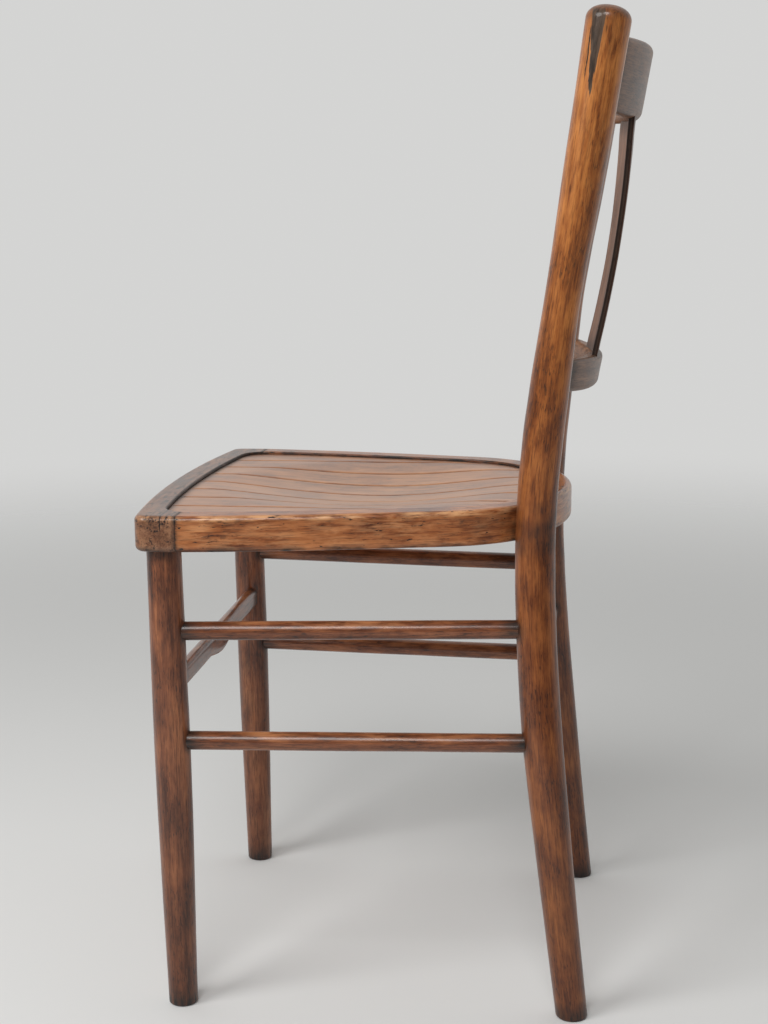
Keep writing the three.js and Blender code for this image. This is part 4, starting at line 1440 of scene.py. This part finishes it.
def panel_columns(half):
    """The middle of each groove, and the x of every column."""
    one_side = np.array([0.35, 0.8, 1.3, 1.9, 2.6, 4]) * MM
    around = np.concatenate([-one_side[::-1], [0], one_side])
    middles = (np.arange(groove_count) - (groove_count - 1) / 2) * groove_pitch
    fine = (middles[:, None] + around).ravel()
    coarse = np.arange(-half, half, 3 * MM)
    coarse = coarse[np.min(np.abs(coarse[:, None] - middles), axis=1) > 5.5 * MM]
    return middles, np.unique(np.round(np.concatenate([fine, coarse]), 6))


def dish(x, y):
    """How far the mould presses the panel down. The dish is deepest behind the middle."""
    ahead = dish_centre - front_y - frame_ledge - front_margin
    behind = rear_y - dish_centre - frame_ledge - rear_margin
    aside = seat_half - frame_ledge - side_margin
    reach = np.where(y < dish_centre, ahead, behind)
    out = (x / aside) ** 2 + ((y - dish_centre) / reach) ** 2
    return dish_depth * zero_to_one(1 - out) ** 1.5


def column_ends(line, xs):
    """The front and rear end of each column inside an outline."""
    ends = []
    for x in xs:
        beside = line[:, 0] - x
        following = np.roll(beside, -1)
        k = np.nonzero(beside * following <= 0)[0]
        share = beside[k] / (beside[k] - following[k] + tiny)
        y = line[k, 1] + share * (np.roll(line[:, 1], -1)[k] - line[k, 1])
        ends.append((y.min(), y.max()))
    return np.array(ends)


print("dish below the rim:", round(float(dish(0, dish_centre)), 4))

# %% [markdown]
# ## The panel's mesh
# Columns of points run from the front edge to the rear edge of the recess. The same columns,
# one thickness lower, make the underside, and a wall of faces joins the two all round.

# %% Panel
def panel_faces(columns, rows):
    """Faces of the top and the underside, and a wall round the border between them."""
    count, faces = columns * rows, []
    for i in range(columns - 1):
        for j in range(rows - 1):
            a, b, c, d = i * rows + j, (i + 1) * rows + j, (i + 1) * rows + j + 1, i * rows + j + 1
            faces += [(a, b, c, d), (count + a, count + d, count + c, count + b)]
    border = [i * rows for i in range(columns)] + [(columns - 1) * rows + j for j in range(1, rows)]
    border += [i * rows + rows - 1 for i in range(columns - 2, -1, -1)] + list(range(rows - 2, 0, -1))
    walls = [(b, a, count + a, count + b) for a, b in zip(border, border[1:] + border[:1])]
    return faces + walls


def make_panel(rows=96, thickness=4.5 * MM, groove_depth=1.4 * MM, seed=8.8):
    edge = outline(frame_land + 0.5 * MM, recess_radius)
    half = edge[:, 0].max() - 0.2 * MM
    middles, xs = panel_columns(half)
    xs = np.concatenate([[-half], xs, [half]])
    ends = column_ends(edge, xs)
    share = np.linspace(0, 1, rows)
    y = ends[:, :1] + share * (ends[:, 1:] - ends[:, :1])
    x = np.repeat(xs[:, None], rows, 1)
    off = np.min(np.abs(x[..., None] - middles), axis=2)
    groove = np.exp(-((off / (1.5 * MM)) ** 2))
    from_edge = np.minimum(y - ends[:, :1], ends[:, 1:] - y)
    fade = step(from_edge, 0, 5 * MM)
    press = dish(x, y)
    panel_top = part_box("seat_panel")[1].z
    top = panel_top - press - groove_depth * groove * fade
    ripple = waves(np.stack([x, y, 0 * x], 2).reshape(-1, 3), 55 * MM, seed).reshape(x.shape)
    top -= (0.5 + 0.5 * ripple) * 0.35 * MM
    rim = from_edge < 0.3 * MM
    top[rim] -= 0.5 * MM
    under = panel_top - press - thickness
    points = np.concatenate([np.stack([x, y, z], 2).reshape(-1, 3) for z in (top, under)])
    wood = np.tile(np.stack([x + seed, 0 * x, y], 2).reshape(-1, 3), (2, 1))
    panel = piece_from("seat_panel_wood", points, panel_faces(len(xs), rows), wood)
    # The grooves and the rim along the recess wall are painted dark: dirt, and painted shade.
    groove_dirt_and_shade = np.exp(-((off / (1.15 * MM)) ** 2)) * fade
    rim_dirt_and_shade = 0.75 * (1 - step(from_edge, 1 * MM, 9 * MM))
    polish = 0.5 * zero_to_one(zero_to_one(press / (9 * MM)) * (0.6 + 0.5 * ripple))
    for name, top_values in (("groove", groove_dirt_and_shade), ("dark", rim_dirt_and_shade), ("worn", polish)):
        paint(panel, name, np.tile(np.ravel(top_values), 2))
    return panel


panel = make_panel()
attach(panel, "root")
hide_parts("seat_panel")
print("panel points:", len(panel.data.vertices))

# %% [markdown]
# ## The finish of the panel
# The panel is the palest wood and has the thickest varnish, which is why it mirrors the room
# most. Its grain is quiet, as on rotary-cut veneer, and the grooves are painted dark red-brown,
# as dirt and as painted shade.

# %% Panel finish
panel_tones = dict(deep=(0.18, 0.062, 0.022), mid=(0.37, 0.15, 0.058), pale=(0.54, 0.25, 0.11),
                   rub=(0.62, 0.32, 0.15))


def panel_finish():
    material, tree = new_material("panel_varnish")
    wood = timber(tree, seed=0.2, streaks=0.6, flecks=0.7, **panel_tones)
    # Painted shade and dirt: the grooves are darkened.
    groove = painted(tree, "groove")
    uneven = maths(tree, "MULTIPLY_ADD", wood["fibre"], 0.5, 0.72)
    groove_dark_share = maths(tree, "MULTIPLY", groove, uneven, clamp=True)
    wood["colour"] = mix(tree, groove_dark_share, wood["colour"], (0.045, 0.012, 0.006))
    wood["dirt_and_shade"] = maths(tree, "ADD", wood["dirt_and_shade"], maths(tree, "MULTIPLY", groove, 0.8), clamp=True)
    varnish(tree, wood, gloss=0.38, coat=0.7, coat_gloss=0.28, relief=0.2)
    return material


panel.data.materials.append(panel_finish())
print("panel finished")

# %% [markdown]
# ## Dowels, screws and washers
# Their CAD shapes are right as they are. They only need old surfaces: raw, glue-stained beech
# for the dowels in the front joints, and dull steel with rust blooms for the two coach screws
# and their washers under the seat.

# %% Old steel
def old_steel():
    material, tree = new_material("old_steel")
    place = add(tree, "TexCoord").outputs["Object"]
    bloom = speckle(tree, place, 330, detail=5, roughness=0.7)
    rust = between(tree, bloom, 0.48, 0.6)
    scratch = speckle(tree, scaled(tree, place, (1, 1, 9)), 700, detail=2)
    metal = mix(tree, scratch, (0.2, 0.19, 0.18), (0.42, 0.41, 0.39))
    colour = mix(tree, rust, metal, (0.13, 0.045, 0.02))
    rough = maths(tree, "MULTIPLY_ADD", rust, 0.38, 0.38)
    bump = add(tree, "Bump", Strength=0.3, Distance=0.0003, Height=bloom)
    shader = add(tree, "BsdfPrincipled", Base_Color=colour, Roughness=rough, Normal=bump.outputs[0],
                 Metallic=maths(tree, "SUBTRACT", 1.0, rust))
    add(tree, "OutputMaterial", Surface=shader.outputs[0])
    return material


steel = old_steel()
print("steel nodes:", len(steel.node_tree.nodes))

# %% [markdown]
# ## Raw beech
# Nobody varnishes a dowel. It is pale wood with fine fibres, stained where old glue soaked in.

# %% Raw beech
def raw_beech():
    material, tree = new_material("raw_beech")
    place = add(tree, "TexCoord").outputs["Object"]
    fibre = speckle(tree, scaled(tree, place, (1, 0.06, 1)), 800, detail=4)
    stain = between(tree, speckle(tree, place, 120, detail=3), 0.4, 0.65)
    colour = mix(tree, fibre, (0.3, 0.17, 0.09), (0.5, 0.33, 0.19))
    colour = mix(tree, maths(tree, "MULTIPLY", stain, 0.6), colour, (0.12, 0.055, 0.025))
    bump = add(tree, "Bump", Strength=0.25, Distance=0.0003, Height=fibre)
    shader = add(tree, "BsdfPrincipled", Base_Color=colour, Normal=bump.outputs[0])
    shader.inputs["Roughness"].default_value = 0.75
    add(tree, "OutputMaterial", Surface=shader.outputs[0])
    return material


beech = raw_beech()
print("beech nodes:", len(beech.node_tree.nodes))

# %% [markdown]
# ## Dressing the small parts
# Each CAD part keeps its shape and its place. Only its material slot gets the new finish, which
# is found by a word in the part's name.

# %% Dress the small parts
finishes = {"dowel": beech, "screw": steel, "washer": steel}
dressed = 0
for name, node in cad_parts.items():
    for word, finish in finishes.items():
        if word in name:
            node.material_slots[0].material = finish
            dressed += 1
print("small parts dressed:", dressed)

# %% [markdown]
# The box of the CAD model and the box of the looks are both measured, and their sizes are
# printed side by side.

# %% Sizes
now_low, now_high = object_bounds()
sizes = {"cad": [list(cad_low), list(cad_high)], "visual": [list(now_low), list(now_high)]}
for key, (low, high) in sizes.items():
    print(key, [round(b - a, 4) for a, b in zip(low, high)])
